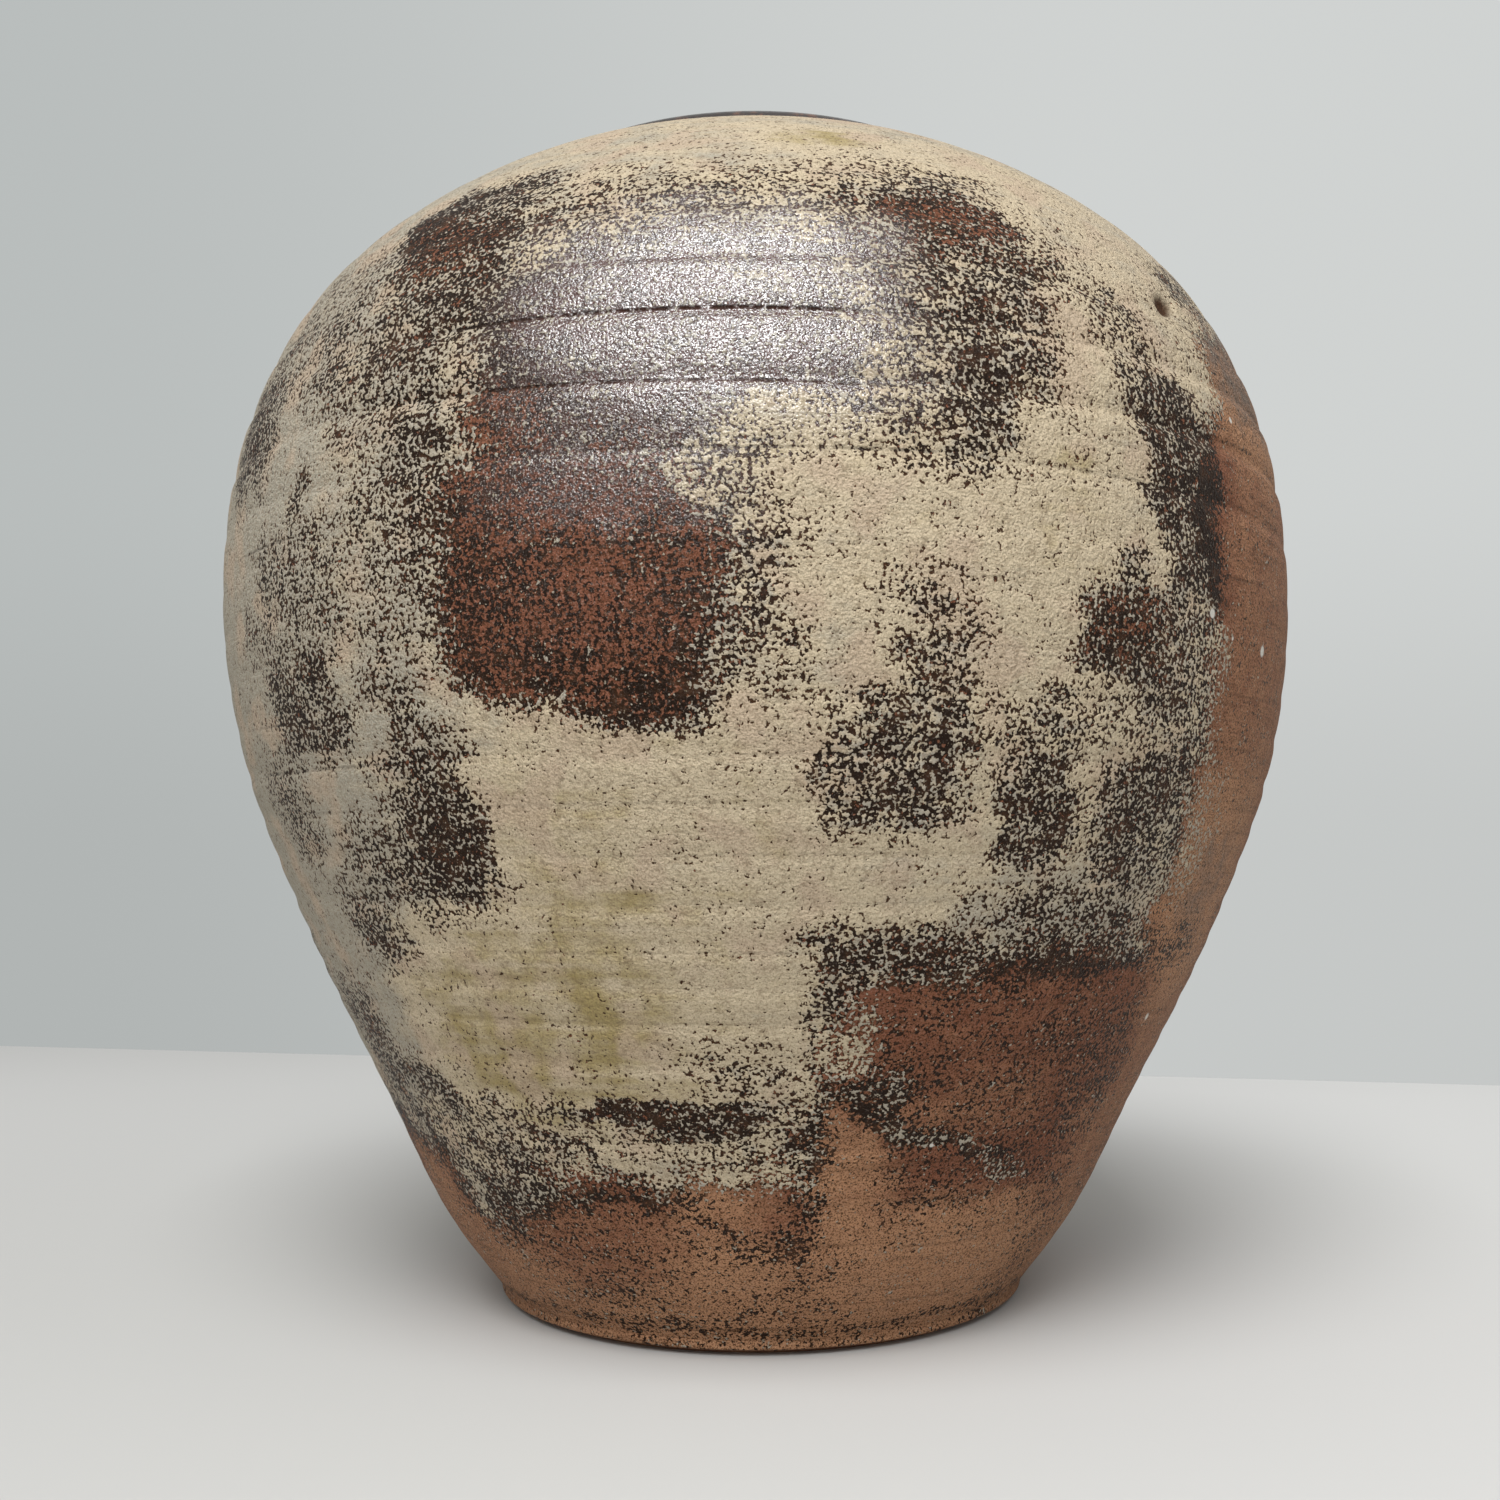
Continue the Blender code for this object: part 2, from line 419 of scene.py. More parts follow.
# how much cream ash lies on the wall
ASH = Layer(
    "ash", 0.975, True,
    (
        # thinly speckled ash
        (-46, 252, 9, 18, 0.76, 8), (-37.5, 235, 3.4, 24, 0.70, 5), (-31, 182, 5, 20, 0.76, 6),
        (-5, 130, 26, 40, 0.985, 12),
        # the left of the shoulder
        (-29.5, 269.5, 8.8, 16, 0.06, 5), (-26, 247, 4.6, 10, 0.26, 5),
        (-31.5, 240, 4.8, 15, 0.40, 6), (-42.7, 240, 3.2, 10, 0.55, 5),
        (-30, 211, 4.4, 20, 0.48, 5), (-29.3, 210, 2.6, 11, 0.26, 4), (-57, 227, 5.8, 14, 0.34, 6),
        (-56, 248, 4, 3, 0.72, 3), (-44.5, 207, 1.0, 5, 0.35, 2.5), (-45, 187, 8, 14, 0.70, 6),
        (-50.5, 192, 2.6, 7, 0.55, 4), (-42.5, 185.5, 2, 4, 0.60, 3), (-52, 181, 3.5, 6, 0.70, 4),
        (-34, 195, 2.5, 6, 0.66, 4),
        # the middle of the shoulder, where the ash melted to dark glass
        (0, 275, 21, 6, 0.84, 5), (-9, 262, 12, 10, 0.52, 6), (4, 262, 5, 8, 0.62, 5),
        (-5.5, 231, 17.8, 26, 0.24, 5), (-10, 230, 12.5, 22, 0.13, 6), (3.5, 211, 7, 6.5, 0.93, 3),
        (-20.5, 213, 4, 9, 0.05, 4),
        # the red patch below it
        (-25.5, 190, 3.2, 17, 0.52, 5), (-1, 181, 4, 23, 0.50, 5),
        (-14.5, 181, 11.6, 27.5, 0.025, 4.5, -0.45),
        # the right of the shoulder
        (17.5, 242, 9.8, 37, 0.50, 4.5), (18, 262, 6.4, 7.5, 0.10, 4),
        (23.5, 250, 3.6, 13, 0.40, 4), (19, 220, 3.3, 15, 0.32, 4), (25.3, 211, 3.2, 8, 0.95, 4),
        (30, 255, 3.5, 10, 0.84, 5), (36, 240, 3.2, 8, 0.55, 4),
        # the belly, left of the middle
        (-46, 160.5, 6, 12.5, 0.42, 4), (-48.5, 166, 2.8, 6, 0.34, 3),
        (-42.8, 166, 2.2, 5.5, 0.34, 3), (-46, 155, 5.5, 4, 0.26, 3), (-53.5, 138, 4, 11, 0.68, 6),
        (-39.5, 126, 5.5, 9, 0.50, 5), (-33, 156, 2.6, 9, 0.55, 4),
        (-31, 133, 5.4, 18.5, 0.34, 4.5), (-30.5, 128, 4, 9, 0.16, 4),
        (-45, 110.5, 4.8, 10, 0.56, 5), (-44, 108, 3.2, 6.5, 0.36, 4),
        # the belly, right of the middle
        (13.2, 176, 3.6, 6.5, 0.62, 4), (15, 166, 3.6, 7.5, 0.64, 4), (2, 166, 3.2, 7, 0.72, 4),
        (11.3, 145, 7.2, 14, 0.48, 4), (13, 143, 4.6, 9, 0.38, 4), (24, 153, 4.4, 6, 0.62, 3.5),
        (25.5, 135.5, 3.9, 13.5, 0.30, 4), (33.5, 172, 5.4, 10, 0.11, 4),
        (33, 185.5, 2.8, 5.5, 0.42, 3), (39.5, 167, 3.6, 13.5, 0.40, 5),
        (37, 154, 7.5, 5, 0.55, 3.5), (40, 133, 8, 14.5, 0.34, 5), (33, 112, 10.5, 8, 0.46, 4),
        # the bare right side, with the ash that reaches into it
        (76, 122, 30.5, 134, 0.015, 3.5, 0.0, 6.0), (44, 166, 3.3, 22, 0.50, 4),
        (47, 131, 4.5, 13, 0.42, 6), (51.5, 200, 10.5, 22, 0.02, 2.5),
        (39, 222, 5.6, 9.5, 0.24, 3.5), (38.2, 206, 2.9, 10, 0.24, 3), (40, 190, 2.1, 9, 0.26, 2.5),
        (44.8, 241, 4.6, 12, 0.92, 4), (54, 262, 5, 6, 0.50, 5),
        # the ragged lower border, from the left
        (-59, 78, 6, 14, 0.34, 7), (-54, 64, 6, 10, 0.30, 5, -0.6), (-39, 56, 10, 11, 0.72, 5),
        (-47, 69, 6, 3.2, 0.24, 3, -0.75), (-33, 52, 5.5, 5, 0.40, 4, 0.5),
        (-41, 45, 6.5, 5, 0.52, 4, -0.5), (-60, 16, 12, 40, 0.03, 3.5, -1.1),
        (-36, -4, 16, 44, 0.03, 3.5, 0.5), (-50.5, 28, 5.5, 21, 0.03, 3, -3.0),
        (-39.5, 39, 4.5, 5, 0.22, 3), (-33, 45, 4.5, 3, 0.16, 3, 0.5),
        (-10, 4, 21.5, 46, 0.02, 4, 0.0, 5.0), (-13, 57.8, 15.5, 3.6, 0.80, 2.5, -0.33),
        (-23, 54.5, 6.5, 2.2, 0.24, 2, -1.0), (-12, 66, 11.5, 3.2, 0.14, 2),
        (-5.5, 63, 7, 5.2, 0.24, 2), (2.7, 62, 1.5, 6, 0.62, 2.5), (6, 58, 2, 8, 0.26, 2.5),
        (-3, 78, 6, 5, 0.72, 4), (30, 46, 23.8, 58, 0.02, 4, 0.0, 6.0),
        (14, 104, 8.5, 6.5, 0.24, 3.5), (9, 98, 3.6, 11, 0.28, 4), (9, 82, 3.4, 6, 0.62, 3),
        (12, 71, 4.5, 3, 0.20, 2.5), (17, 64, 3.0, 4.2, 0.16, 2.5, -1.5),
        (24.5, 58.3, 5.5, 2.4, 0.24, 2.0, -0.25), (30.3, 54, 1.6, 3.6, 0.22, 2.0),
        (34.7, 48.6, 3.8, 2.4, 0.24, 2.0, -0.7),
        # the side away from the photograph
        (150, 0, 60, 46, 0.03, 5, 0.25), (-116, 2, 50, 50, 0.03, 5, -0.2),
        (113, 44, 16, 26, 0.04, 5, 0.6), (107, 84, 7, 13, 0.30, 5), (104, 128, 5, 15, 0.75, 4),
        (101, 164, 4, 9, 0.40, 4), (110, 176, 8, 8, 0.04, 4), (103, 200, 5, 13, 0.60, 4),
        (99, 224, 7, 12, 0.85, 5), (113, 226, 11, 20, 0.42, 7), (121, 206, 9, 13, 0.26, 6),
        (130, 190, 8, 17, 0.10, 5), (139, 170, 9, 14, 0.32, 5), (155, 250, 22, 16, 0.58, 7),
        (170, 226, 13, 20, 0.34, 6), (177, 204, 8, 17, 0.12, 5), (187, 186, 7, 12, 0.50, 5),
        (158, 122, 7, 22, 0.32, 5), (167, 104, 7, 13, 0.52, 5), (-150, 264, 17, 13, 0.22, 6),
        (-140, 242, 9, 18, 0.42, 6), (-133, 208, 10, 21, 0.14, 5), (-123, 188, 8, 12, 0.46, 5),
        (-148, 152, 6, 15, 0.40, 5), (-137, 139, 8, 9, 0.28, 5), (-112, 128, 14, 17, 0.48, 6),
        (-102, 113, 9, 11, 0.26, 5), (-98, 238, 13, 22, 0.42, 7), (-87, 214, 8, 17, 0.32, 6),
        (-91, 172, 9, 15, 0.18, 6), (-80, 158, 6, 11, 0.52, 5), (-82, 95, 12, 16, 0.52, 7),
    ),
)

# how much of the wall between the ash grains is dark glass
GLASS = Layer(
    "glass", 0.975, True,
    (
        (-30.5, 262, 5, 8, 0.80, 6), (-20.5, 213, 4, 9, 0.40, 4), (-5, 236, 17, 28, 0.985, 6),
        (-14.5, 182, 11, 25, 0.66, 8), (-12, 184, 7, 15, 0.46, 9), (18, 262, 6, 6, 0.72, 6),
        (33, 174, 4, 7, 0.78, 5), (77, 122, 31.5, 134, 0.05, 4, 0.0, 6.0),
        (0, -8, 400, 38, 0.08, 9), (-24, 27, 13, 19, 0.20, 5), (-62, 22, 12, 28, 0.06, 6),
        (-57, 70, 8, 16, 0.93, 8), (-38, 44, 10, 9, 0.97, 4), (-23, 54.5, 7, 3, 0.90, 2.5, -1.0),
        (30, 44, 23.5, 56, 0.24, 4, 0.0, 6.0), (10.5, 48, 4.8, 18, 0.03, 4),
        (29, 16, 18, 20, 0.02, 8), (28, 103, 22, 6, 0.93, 4), (12, 71.5, 6, 4, 0.85, 3),
        (15, 66, 4.5, 5.5, 0.90, 3, -1.0), (27, 56, 11, 3.6, 0.95, 2.2, -0.75),
        (46, 70, 6, 14, 0.45, 7), (4.5, 38, 2.8, 15, 0.58, 3.5), (6, 58, 2.2, 9, 0.90, 3),
        (-5, 41, 8, 10, 0.04, 3.5), (-10, 41, 7.5, 2.6, 0.60, 2.5, -1.45),
        (-20, 43.5, 9, 1.6, 0.80, 2), (-24, 48.5, 4.5, 2.6, 0.10, 2.5),
        (0, 3.5, 400, 1.8, 0.38, 1.5), (3, 17, 6, 9, 0.22, 5), (110, 175, 9, 10, 0.05, 5),
        (150, 40, 60, 14, 0.45, 9),
    ),
)

# how far the ash turns from grey over cream to olive
TONE = Layer(
    "tone", 0.42, False,
    (
        (0, 310, 400, 42, 0.30, 16), (24, 284, 15, 14, 0.52, 10), (-58, 170, 22, 130, -0.10, 26),
        (-34, 190, 10, 60, 0.14, 14), (-10, 118, 17, 42, 0.54, 14), (16, 190, 20, 18, 0.50, 12),
        (-27, 86, 17, 26, 0.80, 12), (-17.5, 112, 5, 26, 0.76, 12), (-16.5, 89, 2.6, 7, 1.0, 6),
        (-10.5, 94, 3, 4, 0.74, 5), (-31, 77, 6, 8, 0.94, 9), (7.5, 298, 6, 9, 0.82, 7),
        (27, 200, 3.5, 16, 0.66, 7), (33, 112, 13, 9, 0.12, 6), (-42, 54, 10, 14, 0.35, 8),
        (25, 58, 16, 16, 0.30, 5), (150, 95, 20, 25, 0.75, 14), (-140, 85, 16, 22, 0.80, 12),
        (-170, 240, 12, 20, 0.60, 12),
    ),
)

# how red the bare clay is, from tan to iron red, and grey below zero
IRON = Layer(
    "iron", 0.90, False,
    (
        (76, 122, 30, 134, 0.50, 8), (58, 243, 11, 22, -0.30, 14), (56, 118, 8, 24, -0.15, 14),
        (0, -10, 400, 40, 0.20, 14), (-10, 14, 14, 18, 0.06, 8), (-7, 42, 7, 9, 0.25, 6),
        (11, 44, 5.5, 22, 0.22, 6), (32, 80, 19, 20, 0.80, 8), (27, 65, 9, 5, 0.55, 5),
        (-60, 30, 9, 24, 0.34, 8), (-60, 70, 8, 12, -0.20, 8), (-24, 48, 5, 4, 1.0, 3),
        (28, 18, 18, 22, 0.02, 9), (-26, 30, 12, 14, 0.62, 8), (-14, 182, 12, 24, 1.0, 8),
    ),
)

# where the ash melted to a gloss, which also crowds the painted glints there
MELT = Layer(
    "melt", 0.02, False,
    (
        (-4, 237, 15.5, 25, 1.0, 10), (-11, 202, 9, 12, 0.50, 9), (-13, 180, 12, 12, 0.06, 8),
    ),
)

# the values of a RibLine, in its order
RIB_LINES = (
    (-7, 26, 236.5, 0.85, -0.05), (-7.5, 23, 220.7, 0.85, -0.07), (1, 22, 206.4, 0.7, -0.03),
    (31, 16, 204.8, 0.45, -0.05), (49, 13, 248.3, 0.7, -0.02), (24, 16, 234.6, 0.3, -0.04),
    (51, 11, 188.2, 0.5), (53, 10, 217.5, 0.35, -0.05), (-52, 14, 253.0, 0.7, -0.05),
    (-51, 13, 198.7, 0.8, -0.03), (-40, 6, 224.3, 0.3), (-50, 14, 158.0, 0.5, -0.03),
    (-44, 22, 147.2, 0.6), (20, 40, 146.2, 0.3, -0.02), (-20, 44, 137.2, 0.25),
    (-56, 8, 120.6, 0.35), (2, 26, 126.0, 0.25), (0, 40, 168.3, 0.22), (-6, 30, 104.5, 0.25),
    (-12, 30, 88.0, 0.25), (-21, 10, 43.2, 0.6, 0.04), (0, 178, 4.2, 0.5), (175, 112, 236.0, 0.6),
    (175, 112, 221.0, 0.5), (160, 90, 252.0, 0.4), (-150, 80, 198.5, 0.5), (150, 95, 188.0, 0.4),
    (-140, 80, 147.0, 0.5), (170, 105, 121.0, 0.4), (-160, 90, 96.0, 0.3),
)

# azimuth in degrees, length along the wall and radius in millimetres
SAND = (
    (56, 174, 1.7), (48.5, 175, 0.8), (44.6, 179.5, 1.3), (51, 226, 1.0), (32.8, 84, 0.6),
    (22.3, 56, 0.6), (39.2, 127, 0.9), (55, 84, 1.4),
)

# the heights of the lowest joint and of the highest one below the rim, and the shares of
# the way between them at which each section of the wall ends
BASE_JOINT = 13.5 * MM
MOUTH_JOINT_DROP = 15.6 * MM
WALL_JOINTS = (
    ("lower_wall", 0.18),
    ("flank_wall", 0.42),
    ("belly_wall", 0.64),
    ("upper_wall", 0.82),
    ("shoulder_wall", 1.00),
)


class Sheet:
    """Writes the nodes of one material, or of the world."""

    def __init__(self, owner: object) -> None:
        """Empties the owner's nodes.

        Args:
            owner: The material or the world.
        """
        owner.use_nodes = True
        self.owner = owner
        self.tree = owner.node_tree
        self.tree.nodes.clear()
        self.place = self.add("TexCoord").outputs["Object"]

    def put(self, socket: Socket, item: object) -> None:
        """Sets a socket to a value, or links it to another socket.

        Args:
            socket: The input.
            item: A number, a colour, a vector or a socket.
        """
        if isinstance(item, Socket):
            self.tree.links.new(item, socket)
        elif isinstance(item, tuple):
            socket.default_value = (*item, 1.0) if socket.type == "RGBA" else item
        else:
            socket.default_value = item

    def add(self, kind: str, *items: object, **named: object) -> bpy.types.Node:
        """Adds a node.

        Args:
            kind: Its type, without the prefix that all shader nodes share.
            items: What goes into its inputs, in order, or None to leave one as it is.
            named: Further inputs, with a capital and underscores for spaces, and the node's
                own settings, in small letters.

        Returns:
            The node.
        """
        node = self.tree.nodes.new("ShaderNode" + kind)
        for name, item in named.items():
            if name[0].isupper():
                self.put(node.inputs[name.replace("_", " ")], item)
            else:
                setattr(node, name, item)
        for socket, item in zip(node.inputs, items):
            if item is not None:
                self.put(socket, item)
        return node

    def math(self, operation: str, first: object, second: object = 0.0) -> Socket:
        """Adds a sum of two values, by the name of the Math node's operation."""
        return self.add("Math", first, second, operation=operation).outputs[0]

    def total(self, *terms: object) -> Socket:
        """Adds up all the terms."""
        return reduce(lambda first, second: self.math("ADD", first, second), terms)

    def times(self, first: object, second: object) -> Socket:
        """Multiplies two values."""
        return self.math("MULTIPLY", first, second)

    def scaled(self, value: object, factor: float) -> Socket:
        """Adds (value - 0.5) * factor, which swings a noise round zero."""
        return self.times(self.math("SUBTRACT", value, 0.5), factor)

    def spread(
        self, value: object, low: float, high: float, start: float = 0.0, end: float = 1.0
    ) -> Socket:
        """Adds a smooth rise from start to end as the value goes from low to high."""
        node = self.add("MapRange", value, low, high, start, end, interpolation_type="SMOOTHSTEP")
        return node.outputs[0]

    def blend(self, share: object, low: object, high: object) -> Socket:
        """Adds a mix of two colours, in which the share is how much of high shows."""
        unused = [None] * 5
        return self.add("Mix", share, *unused, low, high, data_type="RGBA").outputs[2]

    def mixed(self, share: object, low: object, high: object) -> Socket:
        """Adds a mix of two numbers, in which the share is how much of high counts."""
        return self.add("Mix", share, None, low, high, data_type="FLOAT").outputs[0]

    def grain(
        self, size: float, detail: float = 2.0, roughness: float = 0.5, shift: float = 0.0
    ) -> Socket:
        """Adds a noise whose cells are about this size.

        Args:
            size: The size of a cell in metres.
            detail: How many finer noises are laid over it.
            roughness: How strong these are.
            shift: Moves the noise, so that two of one size differ.

        Returns:
            The socket with the noise, about 0.5 on average.
        """
        way = (shift, shift * 1.7, shift * 0.6)
        moved = self.add("VectorMath", self.place, way, operation="ADD").outputs[0]
        sizes = {"Scale": 1.0 / size, "Detail": detail, "Roughness": roughness}
        return self.add("TexNoise", moved, **sizes).outputs["Fac"]

    def streaks(
        self, width: float, stretch: float, detail: float = 2.0, shift: float = 0.0
    ) -> Socket:
        """Adds a noise that is drawn out round the wall, as the throwing draws out the clay.

        Args:
            width: The size of a cell up the wall, in metres.
            stretch: Its size round the wall.
            detail: How many finer noises are laid over it.
            shift: Moves the noise along the wall, in cells.

        Returns:
            The socket with the noise, about 0.5 on average.
        """
        across, back, _ = self.add("SeparateXYZ", self.place).outputs
        spot = self.add(
            "CombineXYZ",
            self.math("DIVIDE", across, stretch),
            self.math("DIVIDE", back, stretch),
            self.math("ADD", self.math("DIVIDE", self.painted("wall_length"), width), shift),
        )
        return self.add("TexNoise", spot.outputs[0], Scale=1.0, Detail=detail).outputs["Fac"]

    def near(self, spot: Spot, radius: float) -> Socket:
        """Adds the nearness to a spot: 1 at it, and 0 from the radius on."""
        away = self.add("VectorMath", self.place, spot, operation="DISTANCE").outputs["Value"]
        return self.spread(away, radius * 0.6, radius, 1.0, 0.0)

    def painted(self, name: str) -> Socket:
        """Adds the reading of a painted point attribute."""
        return self.add("Attribute", attribute_name=name).outputs["Fac"]

    def bumped(self, height: object, depth: float, strength: float = 1.0) -> Socket:
        """Adds a bump, in which a height of 1 is this deep, in metres."""
        return self.add("Bump", Strength=strength, Distance=depth, Height=height).outputs[0]

    def seen(self) -> Socket:
        """Adds the share of rays that see the backdrop: seen, mirrored or through glass.

        Returns:
            The socket with the share.
        """
        ray = self.add("LightPath").outputs
        share = self.math("MAXIMUM", ray["Is Camera Ray"], ray["Is Glossy Ray"])
        return self.math("MAXIMUM", share, ray["Is Transmission Ray"])

    def close(
        self, colour: object, roughness: object, normal: object, **more: object
    ) -> bpy.types.Material:
        """Ends the material with its shader.

        Args:
            colour: A colour or a socket.
            roughness: A number or a socket.
            normal: The socket with the normal.
            more: Further inputs of the shader, with underscores for spaces.

        Returns:
            The finished material.
        """
        shader = self.add("BsdfPrincipled", colour, Roughness=roughness, Normal=normal, **more)
        self.add("OutputMaterial", shader.outputs[0])
        return self.owner


@dataclass(frozen=True)
class AshOverClay:
    """Cream ash grains over dark glass over bare iron-red clay, by the painted shares."""

    name: str
    cream: Colour = (0.640, 0.535, 0.378)
    pale_ash: Colour = (0.450, 0.410, 0.340)
    grey_ash: Colour = (0.450, 0.410, 0.330)
    pink_ash: Colour = (0.580, 0.450, 0.330)
    olive: Colour = (0.400, 0.315, 0.140)
    thin_ash: Colour = (0.205, 0.145, 0.085)
    dark: Colour = (0.015, 0.007, 0.003)
    brown: Colour = (0.060, 0.027, 0.012)
    plum: Colour = (0.090, 0.034, 0.028)
    red_clay: Colour = (0.225, 0.086, 0.048)
    tan_clay: Colour = (0.480, 0.258, 0.142)
    grey_clay: Colour = (0.205, 0.160, 0.130)
    # the colour of the painted glints: tiny painted highlights on the glaze's grains
    painted_glint: Colour = (0.520, 0.430, 0.375)
    white_sand: Colour = (0.720, 0.690, 0.630)
    # the sizes of the noises, from the finest up
    dust: float = 0.42 * MM
    speck: float = 0.84 * MM
    pepper: float = 1.7 * MM
    line_break: float = 1.9 * MM
    mottle: float = 4.0 * MM
    clump: float = 4.6 * MM
    wash: float = 9.0 * MM
    blush: float = 13.0 * MM
    drift: float = 24.0 * MM
    # widths and lengths of the streaks that the throwing drew
    drawn: Pair = (2.0 * MM, 18.0 * MM)
    drag: Pair = (1.1 * MM, 26.0 * MM)
    band: Pair = (2.6 * MM, 50.0 * MM)
    # how much the noise that the ash is cut from varies, and how soft the cuts are
    deviation: float = 0.085
    ash_edge: float = 0.008
    glass_edge: float = 0.016
    line_edges: Pair = (0.10, 0.62)
    # how dark the rib lines are painted, as painted shade in their grooves
    line_shade: float = 0.62
    # roughness and coat of the bare clay, the dark glass and the ash
    roughness: tuple[float, float, float] = (0.60, 0.46, 0.56)
    wetness: tuple[float, float, float] = (0.5, 1.0, 0.7)
    relief: float = 0.34 * MM
    coat_relief: float = 0.17 * MM
    coat_roughness: float = 0.12
    coat_index: float = 3.2
    gloss: float = 0.08
    sand: tuple[tuple[Spot, float], ...] = ()

    def material(self) -> bpy.types.Material:
        """Writes the finish.

        Returns:
            The finished material.
        """
        sheet = Sheet(bpy.data.materials.new(self.name))
        clump = sheet.scaled(sheet.grain(self.clump, 3.0, 0.75, 0.31), 0.36)
        drift = sheet.scaled(sheet.grain(self.drift, 2.0, 0.5, 0.77), 0.12)
        drawn = sheet.scaled(sheet.streaks(*self.drawn), 0.20)
        ragged = sheet.total(clump, drift, drawn)
        line = self.ring_line(sheet)
        level = sheet.total(sheet.times(sheet.painted("ash"), self.deviation), ragged)
        level = sheet.math("SUBTRACT", level, sheet.times(line, 0.10))
        fine = sheet.scaled(sheet.grain(self.speck, 1.5), 1.0)
        lying = sheet.math("SUBTRACT", level, fine)
        creamy = sheet.spread(lying, -self.ash_edge, self.ash_edge)
        other = sheet.scaled(sheet.grain(self.speck, 2.0, 0.5, 0.53), 1.0)
        melted = sheet.total(sheet.times(sheet.painted("glass"), self.deviation), ragged)
        melted = sheet.math("SUBTRACT", melted, other)
        glassy = sheet.spread(melted, -self.glass_edge, self.glass_edge)
        dust = sheet.grain(self.dust, 2.0, 0.6, 0.19)

        body = self.body(sheet, glassy, level, dust)
        colour = sheet.blend(creamy, body, self.ash(sheet, level, lying, dust))
        # painted shade: the rib lines are darkened as the shade in their grooves, besides their
        # bump
        colour = sheet.blend(sheet.times(line, self.line_shade), colour, self.dark)
        for spot, radius in self.sand:
            colour = sheet.blend(sheet.near(spot, radius), colour, self.white_sand)
        colour = sheet.blend(sheet.painted("pit"), colour, self.brown)

        height = sheet.total(
            sheet.times(fine, -2.2),
            sheet.scaled(dust, 1.2),
            sheet.times(creamy, 0.35),
            sheet.times(drawn, 1.5),
        )
        height = sheet.math("SUBTRACT", height, line)
        clay, glass, ash = self.wetness
        wet = sheet.mixed(creamy, sheet.mixed(glassy, clay, glass), ash)
        wet = sheet.times(wet, sheet.spread(dust, 0.56, 0.44, 0.25, 1.0))
        clay, glass, ash = self.roughness
        return sheet.close(
            colour,
            sheet.mixed(creamy, sheet.mixed(glassy, clay, glass), ash),
            sheet.bumped(height, self.relief),
            Coat_Weight=sheet.times(sheet.mixed(line, wet, 0.0), sheet.painted("melt")),
            Coat_Roughness=self.coat_roughness,
            Coat_IOR=self.coat_index,
            Coat_Normal=sheet.bumped(height, self.coat_relief),
            Specular_IOR_Level=self.gloss,
        )

    def ring_line(self, sheet: Sheet) -> Socket:
        """Writes the thin lines that the rib cut, broken a little by the grain.

        Args:
            sheet: The material.

        Returns:
            The socket with the lines.
        """
        away = sheet.math("ABSOLUTE", sheet.painted("line_away"))
        near = sheet.spread(away, *self.line_edges, 1.0, 0.0)
        broken = sheet.spread(sheet.grain(self.line_break, 1.0, 0.5, 0.53), 0.36, 0.56, 0.35, 1.0)
        return sheet.times(sheet.times(near, sheet.painted("line")), broken)

    def body(self, sheet: Sheet, glassy: Socket, level: Socket, dust: Socket) -> Socket:
        """Writes the colour between the ash grains, with painted glints in it.

        Args:
            sheet: The material.
            glassy: Where the ash melted to dark glass.
            level: How thick the ash lies.
            dust: A noise finer than the grains.

        Returns:
            The socket with the colour.
        """
        mottle = sheet.grain(self.mottle, 3.0, 0.6, 0.41)
        iron = sheet.total(sheet.painted("iron"), sheet.scaled(mottle, 0.7))
        clay = sheet.blend(sheet.spread(iron, 0.0, 1.0), self.tan_clay, self.red_clay)
        clay = sheet.blend(sheet.spread(iron, -0.45, 0.05), self.grey_clay, clay)
        drag = sheet.streaks(*self.drag, 2.0, 0.7)
        clay = sheet.blend(sheet.spread(drag, 0.5, 0.75, 0.0, 0.35), clay, self.brown)
        clay = sheet.blend(sheet.spread(dust, 0.50, 0.62, 0.0, 0.85), clay, self.brown)
        dark = sheet.blend(sheet.spread(mottle, 0.45, 0.75), self.dark, self.brown)
        dark = sheet.blend(sheet.spread(level, 0.0, 0.12), dark, self.brown)
        body = sheet.blend(glassy, clay, dark)
        melt = sheet.painted("melt")
        plum = sheet.times(sheet.spread(mottle, 0.30, 0.60, 0.4, 1.0), melt)
        body = sheet.blend(plum, body, self.plum)
        # painted highlights: tiny glints scattered over the glaze, thickest where it melted
        glint = sheet.times(sheet.spread(dust, 0.41, 0.34), sheet.spread(melt, 0.0, 0.3, 0.12, 0.7))
        return sheet.blend(glint, body, self.painted_glint)

    def ash(self, sheet: Sheet, level: Socket, lying: Socket, dust: Socket) -> Socket:
        """Writes the colour of the ash.

        Args:
            sheet: The material.
            level: How thick the ash lies.
            lying: The same with the grains in it, above zero on a grain.
            dust: A noise finer than the grains.

        Returns:
            The socket with the colour.
        """
        wash = sheet.scaled(sheet.grain(self.wash, 3.0, 0.6, 0.63), 0.8)
        band = sheet.scaled(sheet.streaks(*self.band, 2.0, 0.4), 0.5)
        tone = sheet.total(sheet.painted("tone"), wash, band)
        ash = sheet.blend(sheet.spread(tone, 0.0, 0.5), self.grey_ash, self.cream)
        ash = sheet.blend(sheet.spread(tone, 0.55, 1.05), ash, self.olive)
        blush = sheet.grain(self.blush, 2.0, 0.5, 0.87)
        ash = sheet.blend(sheet.spread(blush, 0.50, 0.66, 0.0, 0.7), ash, self.pink_ash)
        ash = sheet.blend(sheet.spread(level, -0.06, 0.06), self.pale_ash, ash)
        ash = sheet.blend(sheet.spread(lying, 0.0, 0.045), self.thin_ash, ash)
        pepper = sheet.grain(self.pepper, 3.0, 0.65, 0.29)
        ash = sheet.blend(sheet.spread(pepper, 0.48, 0.72, 0.0, 0.45), ash, self.thin_ash)
        return sheet.blend(sheet.spread(dust, 0.45, 0.70, 0.0, 0.5), ash, self.thin_ash)


